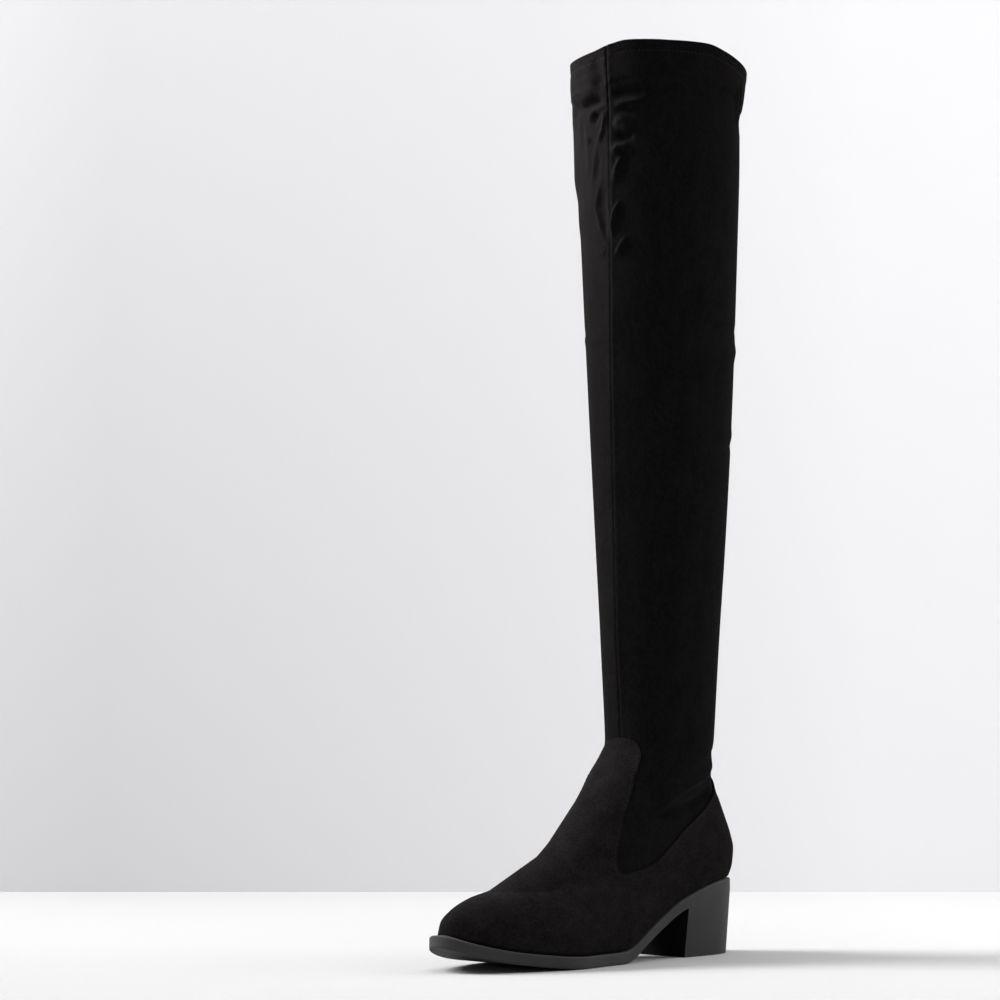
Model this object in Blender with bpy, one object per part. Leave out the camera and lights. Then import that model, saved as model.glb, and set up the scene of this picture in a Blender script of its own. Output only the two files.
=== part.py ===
"""Left thigh-high boot of stretch suede on a moulded sole with a block heel.

Metres, +Z up, toe towards -Y, the wearer's left (the outer side) towards +X.
The origin is the centre of the heel's flat base, on the floor.

A station is a distance along the foot from the back of the sole. The upper is a
stack of closed rings. The lowest lies on the sole's edge, the next ones tilt up
over the instep until they are level at the ankle, and the rest climb the leg.
"""
import math

import bmesh
import bpy
import numpy as np

# Driving sizes of the sole
SOLE_LENGTH = 0.258
BALL_WIDTH = 0.081
SEAT_WIDTH = 0.056
SOLE_BAND = 0.0076
HEEL_HEIGHT = 0.0503
TOE_SPRING = 0.0155
HEEL_DEPTH = 0.0585
HEEL_WIDTH = 0.0486
HEEL_SET_IN = 0.0022
LIP_SIDE = 0.0029
LIP_TOE = 0.0060
EDGE_ROUND = 0.0009
SWING = 0.0042

# Driving sizes of the upper
ANKLE_HEIGHT = 0.145
ANKLE_DEPTH = 0.0804
ANKLE_WIDTH = 0.066
SHAFT_HEIGHT = 0.6015
COLLAR_DEPTH = 0.128
COLLAR_WIDTH = 0.115
COLLAR_DROP = 0.0055
COLLAR_WAVE = 0.0065
WAVE_REACH = 0.070
SHAFT_SWAY = 0.0026
UPPER_WALL = 0.0016
HEM_HEIGHT = 0.026
HEM_STEP = 0.0006
SEAM_WIDTH = 0.0032
SEAM_RISE = 0.0006

# Driving sizes of the pieces on and in the upper
VAMP_WALL = 0.001
EDGE_LIFT = 0.0004
INSOLE_WALL = 0.003
GAP = 0.0003

# Mesh counts
COLUMNS = 48
ROWS_FOOT = 22
ROWS_SHAFT = 15


def table(columns, rows):
    """Give each column of a short table its name."""
    return dict(zip(columns.split(), np.array(rows, dtype=float).T))


# Top edge of the sole from the heel's back to the toe's tip. run is a share of
# SOLE_LENGTH, heel of the heel's lift over the band and toe of TOE_SPRING.
SOLE_LINE = table("run heel toe", [
    (0.00, 1.000, 0.00),
    (0.07, 0.988, 0.00),
    (0.14, 0.925, 0.00),
    (0.20, 0.825, 0.00),
    (0.26, 0.695, 0.00),
    (0.32, 0.500, 0.00),
    (0.385, 0.275, 0.00),
    (0.44, 0.090, 0.00),
    (0.475, 0.018, 0.00),
    (0.51, 0.000, 0.00),
    (0.64, 0.000, 0.00),
    (0.70, 0.000, 0.04),
    (0.75, 0.000, 0.11),
    (0.80, 0.000, 0.20),
    (0.86, 0.000, 0.34),
    (0.91, 0.000, 0.51),
    (0.96, 0.000, 0.74),
    (1.00, 0.000, 1.00),
])

# Centre line of the last, seen from above: run is a share of SOLE_LENGTH, out a
# share of SWING, positive towards the outer side.
LAST_LINE = table("run out", [
    (0.00, 0.00),
    (0.15, 0.00),
    (0.25, 0.24),
    (0.35, 0.64),
    (0.45, 0.76),
    (0.55, 0.70),
    (0.64, 0.48),
    (0.72, 0.24),
    (0.80, 0.05),
    (0.88, -0.05),
    (1.00, -0.12),
])

# Rings of the foot from the sole's edge to the ankle.
#   back_run     back end, share of SOLE_LENGTH in front of the lowest ring's
#   back_rise    its height, share of the way from the seat to the ankle
#   front_run    front end, share of the way from the ankle's front to the toe
#   front_rise   its height, share of the way from the toe to the ankle
#   follow       how far the ring still dips with the sole's edge
#   leg          how far its width follows ANKLE_WIDTH and not the foot
#   back, heel, waist   half widths over the arc of an oval, shares of SEAT_WIDTH
#   joint, ball, toe    the same as shares of BALL_WIDTH
FOOT_RINGS = table(
    "back_run back_rise front_run front_rise follow leg back heel waist joint ball toe", [
        (0.0000, 0.000, 1.000, 0.000, 1.00, 0.0, 0.893, 0.612, 0.432, 0.386, 0.531, 0.450),
        (-0.014, 0.100, 0.985, 0.076, 0.90, 0.0, 0.946, 0.634, 0.455, 0.407, 0.541, 0.430),
        (-0.017, 0.206, 0.930, 0.132, 0.74, 0.0, 0.964, 0.643, 0.500, 0.417, 0.516, 0.425),
        (-0.007, 0.317, 0.834, 0.180, 0.55, 0.0, 0.920, 0.629, 0.518, 0.400, 0.447, 0.430),
        (0.0115, 0.433, 0.679, 0.220, 0.36, 0.0, 0.862, 0.595, 0.507, 0.369, 0.380, 0.440),
        (0.0330, 0.555, 0.511, 0.315, 0.19, 0.0, 0.804, 0.559, 0.500, 0.354, 0.327, 0.420),
        (0.0539, 0.677, 0.343, 0.480, 0.07, 0.3, 0.760, 0.515, 0.485, 0.333, 0.290, 0.350),
        (0.0597, 0.809, 0.140, 0.749, 0.00, 0.7, 0.780, 0.480, 0.480, 0.330, 0.290, 0.270),
        (0.0562, 1.000, 0.000, 1.000, 0.00, 1.0, 0.600, 0.600, 0.600, 0.400, 0.400, 0.400),
    ])
# Places of the six half widths along a ring, from its back end to its front end
WIDTH_PLACES = np.array([0.0, 0.16, 0.36, 0.56, 0.75, 1.0])

# Rings of the shaft over the ankle. rise is a share of the way to the collar,
# depth and width of the way from the ankle's size to the collar's, sway of
# SHAFT_SWAY towards the heel, drop of COLLAR_DROP at the ring's back end, and
# twist turns the front seam outwards in degrees.
SHAFT_RINGS = table("rise depth width sway drop twist", [
    (0.000, 0.000, 0.000, 0.00, 0.0, 3.5),
    (0.140, 0.132, 0.132, 0.42, 0.0, 5.0),
    (0.290, 0.277, 0.332, 0.80, 0.0, 5.6),
    (0.500, 0.485, 0.540, 1.05, 0.0, 7.2),
    (0.709, 0.635, 0.720, 0.90, 0.1, 9.6),
    (0.843, 0.720, 0.820, 0.80, 0.3, 10.8),
    (0.905, 0.750, 0.840, 0.70, 0.6, 10.8),
    (0.965, 0.950, 0.950, 0.60, 0.9, 12.4),
    (1.000, 1.000, 1.000, 0.60, 1.0, 12.9),
])

# The slack collar stands up on its outer side: turn is the angle round the rim from
# its back in degrees, rise a share of COLLAR_WAVE.
RIM_LINE = table("turn rise", [
    (0, 0.15),
    (40, 0.15),
    (65, 0.24),
    (82, 0.40),
    (98, 0.72),
    (112, 1.00),
    (125, 0.90),
    (140, 0.78),
    (166, 0.74),
    (178, 0.40),
    (193, -0.08),
    (210, -0.20),
    (250, -0.10),
    (300, 0.00),
    (360, 0.15),
])

# Upper edge of the vamp and counter: turn is the angle round the ring from the
# heel's back in degrees, ring a row of FOOT_RINGS counted from the sole's edge.
VAMP_EDGE = table("turn ring", [
    (0, 6.55),
    (12, 6.35),
    (29, 5.70),
    (45, 5.22),
    (56, 4.95),
    (68, 4.72),
    (79, 4.40),
    (88, 4.14),
    (97, 4.02),
    (104, 4.05),
    (110, 4.45),
    (115, 5.05),
    (121, 5.75),
    (127, 6.25),
    (133, 6.70),
    (138, 7.05),
    (143, 7.40),
    (149, 7.68),
    (160, 7.90),
    (180, 7.97),
])

ANKLE_RING = len(FOOT_RINGS["leg"]) - 1
COLLAR_RING = ANKLE_RING + len(SHAFT_RINGS["rise"]) - 1
HEEL_BREAST = HEEL_SET_IN + HEEL_DEPTH
ORIGIN_STATION = HEEL_SET_IN + HEEL_DEPTH / 2


def curve(x, knots, values):
    """Smooth curve through knots that never overshoots them.

    Between two knots it is a cubic whose end slopes are the harmonic mean of
    the slopes on both sides, or nothing where these differ in sign. values may
    hold one row of knots for each x.
    """
    x = np.clip(np.asarray(x, dtype=float), knots[0], knots[-1])
    values = np.asarray(values, dtype=float)
    step = np.diff(knots)
    rise = np.diff(values, axis=-1) / step
    left, right = rise[..., :-1], rise[..., 1:]
    same = left * right > 0
    mean = np.where(same, 2 * left * right / np.where(same, left + right, 1.0), 0.0)
    slope = np.concatenate([rise[..., :1], mean, rise[..., -1:]], axis=-1)
    i = np.clip(np.searchsorted(knots, x, side="right") - 1, 0, len(knots) - 2)
    t = (x - knots[i]) / step[i]

    def at(array, index):
        if array.ndim == 1:
            return array[index]
        return np.take_along_axis(array, index, axis=-1)

    y0, y1 = at(values, i), at(values, i + 1)
    m0, m1 = at(slope, i) * step[i], at(slope, i + 1) * step[i]
    bulge = t * (1 - t)
    return y0 + (y1 - y0) * t * t * (3 - 2 * t) + bulge * ((1 - t) * m0 - t * m1)


def sole_top(station):
    """Height of the sole's top edge over the floor at a station."""
    lift = HEEL_HEIGHT - SOLE_BAND
    run = station / SOLE_LENGTH
    heel = curve(run, SOLE_LINE["run"], SOLE_LINE["heel"])
    toe = curve(run, SOLE_LINE["run"], SOLE_LINE["toe"])
    return SOLE_BAND + heel * lift + toe * TOE_SPRING


def last_line(station):
    """Sideways place of the last's centre line at a station."""
    return SWING * curve(station / SOLE_LENGTH, LAST_LINE["run"], LAST_LINE["out"])


def key_rings():
    """Work the ring tables out as lengths: one row for each ring, in order."""
    foot, shaft = FOOT_RINGS, SHAFT_RINGS
    back0, tip = LIP_SIDE, SOLE_LENGTH - LIP_TOE
    seat, toe = sole_top(back0) + GAP, sole_top(tip) + GAP
    back = back0 + foot["back_run"] * SOLE_LENGTH
    ankle_front = back[-1] + ANKLE_DEPTH
    front = ankle_front + foot["front_run"] * (tip - ankle_front)
    back_z = seat + foot["back_rise"] * (ANKLE_HEIGHT - seat)
    front_z = toe + foot["front_rise"] * (ANKLE_HEIGHT - toe)
    own = [foot[name] * SEAT_WIDTH for name in ("back", "heel", "waist")]
    own += [foot[name] * BALL_WIDTH for name in ("joint", "ball", "toe")]
    leg = foot["leg"]
    widths = np.array(own).T * (1 - leg)[:, None] + leg[:, None] * ANKLE_WIDTH / 2

    depth = ANKLE_DEPTH + shaft["depth"] * (COLLAR_DEPTH - ANKLE_DEPTH)
    width = ANKLE_WIDTH + shaft["width"] * (COLLAR_WIDTH - ANKLE_WIDTH)
    middle = back[-1] + ANKLE_DEPTH / 2 - shaft["sway"] * SHAFT_SWAY
    level = ANKLE_HEIGHT + shaft["rise"] * (SHAFT_HEIGHT - ANKLE_HEIGHT)
    rows = {
        "back": np.append(back, (middle - depth / 2)[1:]),
        "front": np.append(front, (middle + depth / 2)[1:]),
        "back_z": np.append(back_z, (level - shaft["drop"] * COLLAR_DROP)[1:]),
        "front_z": np.append(front_z, level[1:]),
        "follow": np.append(foot["follow"], 0 * level[1:]),
        "leg": np.append(leg, 1 + 0 * level[1:]),
        "twist": np.append(shaft["twist"][0] * leg, shaft["twist"][1:]),
    }
    for i in range(len(WIDTH_PLACES)):
        rows["width%d" % i] = np.append(widths[:, i], (width / 2)[1:])
    return rows


RINGS = key_rings()
RING_NUMBERS = np.arange(COLLAR_RING + 1.0)


def ring(name, v):
    """One column of the rings, between rows where v isn't whole."""
    return curve(v, RING_NUMBERS, RINGS[name])


def skin(u, v):
    """Point of the upper at angle u round ring v, from the heel's back.

    Along a ring the share a runs from 0 at its back end to 1 at its front end
    as (1 - cos u) / 2, and the half width is that of an oval, sin u, times the
    width of the ring's table at a. The height runs straight from end to end and
    adds the sole's dip, which fades from ring to ring.
    """
    a = (1 - np.cos(u)) / 2
    station = ring("back", v) + (ring("front", v) - ring("back", v)) * a
    widths = np.stack([ring("width%d" % i, v) for i in range(len(WIDTH_PLACES))], -1)
    half = curve(a[..., None], WIDTH_PLACES, widths)[..., 0]
    across = half * np.sin(u) + last_line(station) * (1 - ring("leg", v))
    edge = RINGS["back"][0] + (RINGS["front"][0] - RINGS["back"][0]) * a
    straight = RINGS["back_z"][0] + (RINGS["front_z"][0] - RINGS["back_z"][0]) * a
    dip = sole_top(edge) + GAP - straight
    height = ring("back_z", v) + (ring("front_z", v) - ring("back_z", v)) * a
    height = height + ring("follow", v) * dip
    return np.stack([across, ORIGIN_STATION - station, height], -1)


def skin_out(u, v, out):
    """Point of the upper moved outwards along its normal by out."""
    small = 1e-3
    v_low = np.clip(v - small, 0, COLLAR_RING - 2 * small)
    along_u = skin(u + small, v) - skin(u - small, v)
    along_v = skin(u, v_low + 2 * small) - skin(u, v_low)
    normal = np.cross(along_v, along_u)
    normal /= np.linalg.norm(normal, axis=-1, keepdims=True)
    return skin(u, v) + normal * np.asarray(out)[..., None]


def ease(x):
    """Soft step from 0 to 1."""
    x = np.clip(x, 0, 1)
    return x * x * (3 - 2 * x)


def new_object(name, points, faces, material):
    """Make a mesh object that is smooth but for its sharp edges."""
    mesh = bpy.data.meshes.new(name)
    mesh.from_pydata([tuple(p) for p in points], [], faces)
    mesh.validate()
    bm = bmesh.new()
    bm.from_mesh(mesh)
    bmesh.ops.recalc_face_normals(bm, faces=bm.faces)
    bm.to_mesh(mesh)
    bm.free()
    mesh.shade_smooth()
    mesh.set_sharp_from_angle(angle=math.radians(40))
    obj = bpy.data.objects.new(name, mesh)
    obj.data.materials.append(material)
    PARTS.objects.link(obj)
    return obj


def plain_material(name, colour, roughness, metallic=0.0):
    """Principled material of one colour."""
    material = bpy.data.materials.new(name)
    material.use_nodes = True
    shader = material.node_tree.nodes["Principled BSDF"]
    shader.inputs["Base Color"].default_value = (*colour, 1)
    shader.inputs["Roughness"].default_value = roughness
    shader.inputs["Metallic"].default_value = metallic
    return material


def loop_faces(rows, columns):
    """Quads of a stack of closed loops."""
    quads = []
    for r in range(rows - 1):
        for c in range(columns):
            d = (c + 1) % columns
            quads.append((r * columns + c, r * columns + d,
                          (r + 1) * columns + d, (r + 1) * columns + c))
    return quads


def shell(name, outer, inner, material):
    """Close an outer and an inner stack of rings along both rims."""
    loops = np.concatenate([outer, inner[::-1]])
    rows, columns = loops.shape[:2]
    faces = loop_faces(rows, columns)
    last = (rows - 1) * columns
    faces += [(last + c, last + (c + 1) % columns, (c + 1) % columns, c)
              for c in range(columns)]
    return new_object(name, loops.reshape(-1, 3), faces, material)


def half_turns():
    """Angles of the mesh columns from the heel's back to the toe.

    They lie closer along the foot's sides than round its ends, and one of them
    is at the heel's breast. Every piece uses the same ones, so that the flat
    facets of neighbours run side by side.
    """
    even = np.linspace(0, math.pi, COLUMNS // 2 + 1)
    u = even + 0.15 * np.sin(2 * even)
    share = (HEEL_BREAST - RINGS["back"][0]) / (RINGS["front"][0] - RINGS["back"][0])
    breast = math.acos(1 - 2 * share)
    u[np.argmin(np.abs(u - breast))] = breast
    return u, breast


def full_turns():
    """The same angles all the way round."""
    half = half_turns()[0]
    return np.concatenate([half, 2 * math.pi - half[-2:0:-1]])


def foot_rows():
    """Rings of the foot's mesh rows, evenly spread along its front and sides."""
    fine = np.linspace(0, ANKLE_RING, 401)
    length = np.zeros(len(fine))
    for u, weight in ((math.pi, 2.0), (math.pi / 2, 1.0), (0.0, 1.0)):
        path = skin(np.full(len(fine), u), fine)
        steps = np.linalg.norm(np.diff(path, axis=0), axis=1)
        length[1:] += weight * np.cumsum(steps) / np.sum(steps)
    return np.interp(np.linspace(0, length[-1], ROWS_FOOT), length, fine)[:-1]


def upper_grid():
    """Angles and rings of the upper's mesh, with the rise of seam and hem."""
    turn = full_turns()
    turn = turn[np.abs(turn - math.pi) > 0.1]
    seam_side = np.array([-1.0, -0.45, 0.45, 1.0])
    hem = ring_of_height(SHAFT_HEIGHT - HEM_HEIGHT)
    under_hem = ring_of_height(SHAFT_HEIGHT - HEM_HEIGHT - 1.5 * HEM_STEP)
    under_rim = ring_of_height(SHAFT_HEIGHT - UPPER_WALL / 2)
    foot = foot_rows()
    shaft = np.linspace(ANKLE_RING, under_hem, ROWS_SHAFT)
    rows = np.concatenate([foot, shaft, [hem, (hem + under_rim) / 2, under_rim, COLLAR_RING]])

    half_seam = SEAM_WIDTH / 2 / ring("width3", rows)
    seam = math.pi + seam_side[None, :] * half_seam[:, None]
    plain = np.broadcast_to(turn, (len(rows), len(turn)))
    u = np.sort(np.concatenate([plain, seam], axis=1), axis=1)
    near = np.clip(1 - np.abs(u - math.pi) / (0.4 * math.pi), 0, 1)
    twist = np.radians(ring("twist", rows))[:, None]
    v = np.broadcast_to(rows[:, None], u.shape)

    on_seam = np.abs(u - math.pi) < 0.6 * half_seam[:, None]
    over_vamp = ease((v - ANKLE_RING) * 4)
    rise = SEAM_RISE * on_seam * over_vamp
    rise = rise + HEM_STEP * (v >= hem - 1e-6)
    return u - twist * ease(near), v, rise


def ring_of_height(height):
    """Ring number on the shaft at a height over the floor."""
    fine = np.linspace(ANKLE_RING, COLLAR_RING, 2000)
    return float(np.interp(height, ring("front_z", fine), fine))


def rim_wave(u, v):
    """Lift of the cloth near the rim, which fades over WAVE_REACH down the shaft."""
    line = curve(np.degrees(u + np.radians(ring("twist", v))), RIM_LINE["turn"], RIM_LINE["rise"])
    below = ring("front_z", np.full(v.shape, float(COLLAR_RING))) - ring("front_z", v)
    return COLLAR_WAVE * line * ease(1 - below / WAVE_REACH)


def build_upper(material):
    """Foot and shaft as one hollow wall, with the hem and the front seam."""
    u, v, rise = upper_grid()
    lift = np.stack([0 * u, 0 * u, rim_wave(u, v)], -1)
    rim = (v >= COLLAR_RING).astype(float) * UPPER_WALL * 0.3
    outer = skin_out(u, v, rise - rim) + lift
    inner = skin_out(u, v, rim - UPPER_WALL) + lift
    outer[0, :, 2] = on_sole(outer[0, :, 1]) + GAP
    inner[0, :, 2] = outer[0, :, 2]
    inner[-1, :, 2] = outer[-1, :, 2]
    return shell("upper", outer, inner, material)


def build_vamp(material):
    """Vamp with its tongue and the heel counter: one layer round the foot.

    It is cut from the upper's own grid, so that its facets lie side by side
    with the upper's. Each column of the grid ends where it meets the edge.
    """
    u, v, _ = upper_grid()
    from_back = np.degrees(np.minimum(u, 2 * math.pi - u))
    over = v - curve(from_back, VAMP_EDGE["turn"], VAMP_EDGE["ring"])
    columns = np.arange(u.shape[1])
    last = np.sum(over < 0, axis=0) - 1
    share = over[last, columns] / (over[last, columns] - over[last + 1, columns])
    edge_u = u[last, columns] * (1 - share) + u[last + 1, columns] * share
    edge_v = v[last, columns] * (1 - share) + v[last + 1, columns] * share
    last = last - (share < 0.1)

    rows = last.max() + 1
    layers = []
    for out in (GAP + VAMP_WALL, GAP):
        body = skin_out(u[:rows], v[:rows], np.full(u[:rows].shape, out))
        body[0, :, 2] = on_sole(body[0, :, 1]) + GAP
        edge = skin_out(edge_u, edge_v, np.full(len(columns), out + EDGE_LIFT))
        layers.append(np.concatenate([body, edge[None]]))
    points = np.concatenate([layer.reshape(-1, 3) for layer in layers])
    size = (rows + 1) * len(columns)

    faces = []
    for c in columns:
        d = (c + 1) % len(columns)
        low = min(last[c], last[d])
        for base in (0, size):
            def at(r, column):
                return base + r * len(columns) + column
            faces += [(at(r, c), at(r, d), at(r + 1, d), at(r + 1, c)) for r in range(low)]
            faces.append((*[at(r, c) for r in range(low, last[c] + 1)], at(rows, c),
                          at(rows, d), *[at(r, d) for r in range(last[d], low - 1, -1)]))
        for r in (0, rows):
            outer = r * len(columns)
            faces.append((outer + c, outer + d, size + outer + d, size + outer + c))
    used = np.unique([i for face in faces for i in face])
    new = {int(old): i for i, old in enumerate(used)}
    faces = [tuple(new[int(i)] for i in face) for face in faces]
    return new_object("vamp", points[used], faces, material)


def feather_outline(u, out):
    """Lowest ring of the upper seen from above, moved outwards in plan."""
    small = 1e-3
    zero = np.zeros_like(u)
    point = skin(u, zero)[:, :2]
    along = (skin(u + small, zero) - skin(u - small, zero))[:, :2]
    along /= np.linalg.norm(along, axis=1, keepdims=True)
    normal = np.stack([-along[:, 1], along[:, 0]], -1)
    return point + normal * np.asarray(out)[..., None]


def sole_edge(u):
    """Plan of the sole's edge beside the lowest ring."""
    a = (1 - np.cos(u)) / 2
    lip = LIP_SIDE + (LIP_TOE - LIP_SIDE) * ease((a - 0.75) / 0.25)
    return feather_outline(u, lip)


def into_sole(u):
    """Unit vectors in plan from the sole's edge towards the lowest ring."""
    inward = feather_outline(u, np.zeros_like(u)) - sole_edge(u)
    return inward / np.linalg.norm(inward, axis=1, keepdims=True)


def on_sole(y):
    """Height of the sole's faceted top over the floor, at a place along Y."""
    u = half_turns()[0]
    edge = sole_edge(u)
    top = edge + into_sole(u) * EDGE_ROUND
    return np.interp(-y, -top[:, 1], sole_top(ORIGIN_STATION - edge[:, 1]))


def build_outsole(material):
    """Unit sole: edge band, arched shank, flat forefoot and block heel in one.

    The side of each column runs from the top edge to the band's bottom, or in
    the heel down to the floor. Columns come in pairs, outer and inner side, and
    strips across join them over the top and underneath.
    """
    half, breast_turn = half_turns()
    breast = int(np.argmin(np.abs(half - breast_turn)))
    u = full_turns()
    count = len(u)
    edge = sole_edge(u)
    station = ORIGIN_STATION - edge[:, 1]
    top = sole_top(station)
    breast_station = station[breast]
    # rows of the side: share of the way down and how far they stand in, where
    # foot counts in front of the heel only, because the block is flush with the band
    band = table("down inset foot", [
        (0.00, 1.00, 0.0),
        (0.12, 0.15, 0.0),
        (0.50, 0.00, 0.0),
        (0.85, 0.00, 0.3),
        (1.00, 0.00, 1.2),
    ])
    before = station > breast_station + 1e-6
    inward = into_sole(u)

    seat_half = np.interp(breast_station, station[:breast + 2], edge[:breast + 2, 0])
    scale_x = HEEL_WIDTH / 2 / seat_half
    back = station.min()
    scale_s = (breast_station - HEEL_SET_IN) / (breast_station - back)
    base = np.stack([edge[:, 0] * scale_x,
                     ORIGIN_STATION - (breast_station - (breast_station - station) * scale_s)], -1)

    rings = []
    for down, inset, foot in zip(*band.values()):
        plan = edge + inward * (EDGE_ROUND * (inset + foot * before))[:, None]
        rings.append(np.column_stack([plan, top - SOLE_BAND * down]))
    bottom = rings[-1]
    bottom[:, 2] = np.where(np.abs(bottom[:, 2]) < 5e-5, 0.0, bottom[:, 2])

    bm = bmesh.new()
    side = [[bm.verts.new(p) for p in row] for row in rings]
    for r in range(len(side) - 1):
        for c in range(count):
            d = (c + 1) % count
            bm.faces.new((side[r][c], side[r][d], side[r + 1][d], side[r + 1][c]))

    def across(row, first, last):
        """Strips between the outer and the inner side, from column to column."""
        for c in range(first, last):
            ring_of = [row[c], row[c + 1], row[-(c + 1)], row[-c] if c else row[0]]
            corners = list(dict.fromkeys(ring_of))
            bm.faces.new(corners)

    across(side[0], 0, len(half) - 1)
    across(side[-1], breast, len(half) - 1)

    # heel block: the band's bottom in front of the breast is left open above it
    heel_columns = [c for c in range(count) if c <= breast or c >= count - breast]
    heights = np.array([0.5, 0.12, 0.0])
    heel_rows = [{c: side[-1][c] for c in heel_columns}]
    for share in heights:
        row = {}
        for c in heel_columns:
            waist = 1 - share
            plan = bottom[c, :2] + (base[c] - bottom[c, :2]) * waist
            if share == 0.0:
                plan = plan + inward[c] * 0.0006
            row[c] = bm.verts.new((plan[0], plan[1], bottom[c, 2] * share))
        heel_rows.append(row)
    order = list(range(count - breast, count)) + list(range(0, breast + 1))
    for upper_row, lower_row in zip(heel_rows[:-1], heel_rows[1:]):
        for c, d in zip(order[:-1], order[1:]):
            bm.faces.new((upper_row[c], upper_row[d], lower_row[d], lower_row[c]))
    right, left = breast, count - breast
    for upper_row, lower_row in zip(heel_rows[:-1], heel_rows[1:]):
        bm.faces.new((upper_row[right], upper_row[left], lower_row[left], lower_row[right]))
    base_row = heel_rows[-1]
    for c in range(breast):
        corners = [base_row[c], base_row[c + 1], base_row[count - c - 1],
                   base_row[count - c] if c else base_row[0]]
        bm.faces.new(list(dict.fromkeys(corners)))

    bmesh.ops.recalc_face_normals(bm, faces=bm.faces)
    mesh = bpy.data.meshes.new("outsole")
    bm.to_mesh(mesh)
    bm.free()
    mesh.shade_smooth()
    mesh.set_sharp_from_angle(angle=math.radians(35))
    obj = bpy.data.objects.new("outsole", mesh)
    obj.data.materials.append(material)
    PARTS.objects.link(obj)
    return obj


def build_insole(material):
    """Insole board that fills the upper's bottom from wall to wall."""
    half = half_turns()[0]
    u = full_turns()
    count = len(u)
    rise = np.linspace(0, 1, 101)
    climb = skin(u[:, None], np.broadcast_to(rise, (count, 101)))[..., 2]
    climb = climb - climb[:, :1]
    layers = []
    for height in (0.0, INSOLE_WALL):
        v = np.array([np.interp(height, row, rise) for row in climb])
        plan = skin_out(u, v, np.full(count, -(UPPER_WALL + 2 * GAP)))[:, :2]
        low = on_sole(plan[:, 1]) + GAP + height
        layers.append(np.column_stack([plan, low]))
    points = np.concatenate(layers)
    faces = [(c, (c + 1) % count, count + (c + 1) % count, count + c) for c in range(count)]
    for base in (0, count):
        for c in range(len(half) - 1):
            corners = [base + c, base + c + 1, base + count - c - 1,
                       base + (count - c) % count]
            faces.append(tuple(dict.fromkeys(corners)))
    return new_object("insole", points, faces, material)


for old in list(bpy.data.objects):
    bpy.data.objects.remove(old, do_unlink=True)

PARTS = bpy.data.collections.new("thigh_high_boot")
bpy.context.scene.collection.children.link(PARTS)

SUEDE = plain_material("black stretch suede", (0.012, 0.012, 0.013), 0.95)
VAMP_SUEDE = plain_material("black suede", (0.014, 0.013, 0.014), 0.92)
SOLE_PLASTIC = plain_material("black moulded plastic", (0.012, 0.012, 0.012), 0.35)
LINING = plain_material("black lining board", (0.02, 0.02, 0.02), 0.8)

build_outsole(SOLE_PLASTIC)
build_insole(LINING)
build_upper(SUEDE)
build_vamp(VAMP_SUEDE)
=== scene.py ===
# %% [markdown]
# # Left thigh-high boot
# A pull-on boot of black stretch suede. It has a slim shaft with a seam up its front,
# a vamp whose top ends in a rounded tongue, and a moulded sole with a block heel.
# The boot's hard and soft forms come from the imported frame. This script gives them
# fine surfaces, creases, stitches and materials, and sets them in a studio.

# %% Load the frame
import math

import bmesh
import bpy
import numpy as np
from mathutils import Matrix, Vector


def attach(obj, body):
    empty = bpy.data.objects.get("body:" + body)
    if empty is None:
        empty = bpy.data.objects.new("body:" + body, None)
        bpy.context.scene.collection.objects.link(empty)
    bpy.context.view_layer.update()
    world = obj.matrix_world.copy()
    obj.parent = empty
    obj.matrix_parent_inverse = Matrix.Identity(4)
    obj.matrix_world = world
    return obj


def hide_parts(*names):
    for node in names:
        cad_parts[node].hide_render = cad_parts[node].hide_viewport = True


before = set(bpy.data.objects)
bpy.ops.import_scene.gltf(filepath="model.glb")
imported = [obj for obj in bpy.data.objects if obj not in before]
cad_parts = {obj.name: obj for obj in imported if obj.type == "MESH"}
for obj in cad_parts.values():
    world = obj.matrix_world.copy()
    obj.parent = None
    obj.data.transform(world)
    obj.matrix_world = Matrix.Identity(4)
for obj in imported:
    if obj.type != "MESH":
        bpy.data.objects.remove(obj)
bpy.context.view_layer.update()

# %% [markdown]
# ## The last as a function
# A shoemaker builds a boot over a last. Here the last is a stack of closed rings.
# The lowest ring lies on the sole's edge, the next ones tilt up over the instep until
# they are level at the ankle, and the rest climb the leg. Each ring has two ends and
# six half widths. Smooth curves between the rings give a point for any angle u round
# the boot and any ring number v, so every suede piece can be cut from one surface.

# %% Sizes of the sole and the last, in metres
SOLE_LENGTH = 0.258
BALL_WIDTH = 0.081
SEAT_WIDTH = 0.056
SOLE_BAND = 0.0076
HEEL_HEIGHT = 0.0503
TOE_SPRING = 0.0155
HEEL_DEPTH = 0.0585
HEEL_WIDTH = 0.0486
HEEL_SET_IN = 0.0022
LIP_SIDE = 0.0029
LIP_TOE = 0.0060
SWING = 0.0042
ANKLE_HEIGHT = 0.145
ANKLE_DEPTH = 0.0804
ANKLE_WIDTH = 0.066
SHAFT_HEIGHT = 0.6015
COLLAR_DEPTH = 0.128
COLLAR_WIDTH = 0.115
COLLAR_DROP = 0.0055
COLLAR_WAVE = 0.0065
WAVE_REACH = 0.070
SHAFT_SWAY = 0.0026
UPPER_WALL = 0.0016
HEM_HEIGHT = 0.026
VAMP_WALL = 0.001
EDGE_LIFT = 0.0004
GAP = 0.0003
ORIGIN_STATION = HEEL_SET_IN + HEEL_DEPTH / 2
MM = 0.001
print("sole", SOLE_LENGTH / MM, "mm long, shaft", SHAFT_HEIGHT / MM, "mm high")


# %% Tables of the last
def table(columns, rows):
    """Give each column of a short table its name."""
    return dict(zip(columns.split(), np.array(rows, dtype=float).T))


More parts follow.
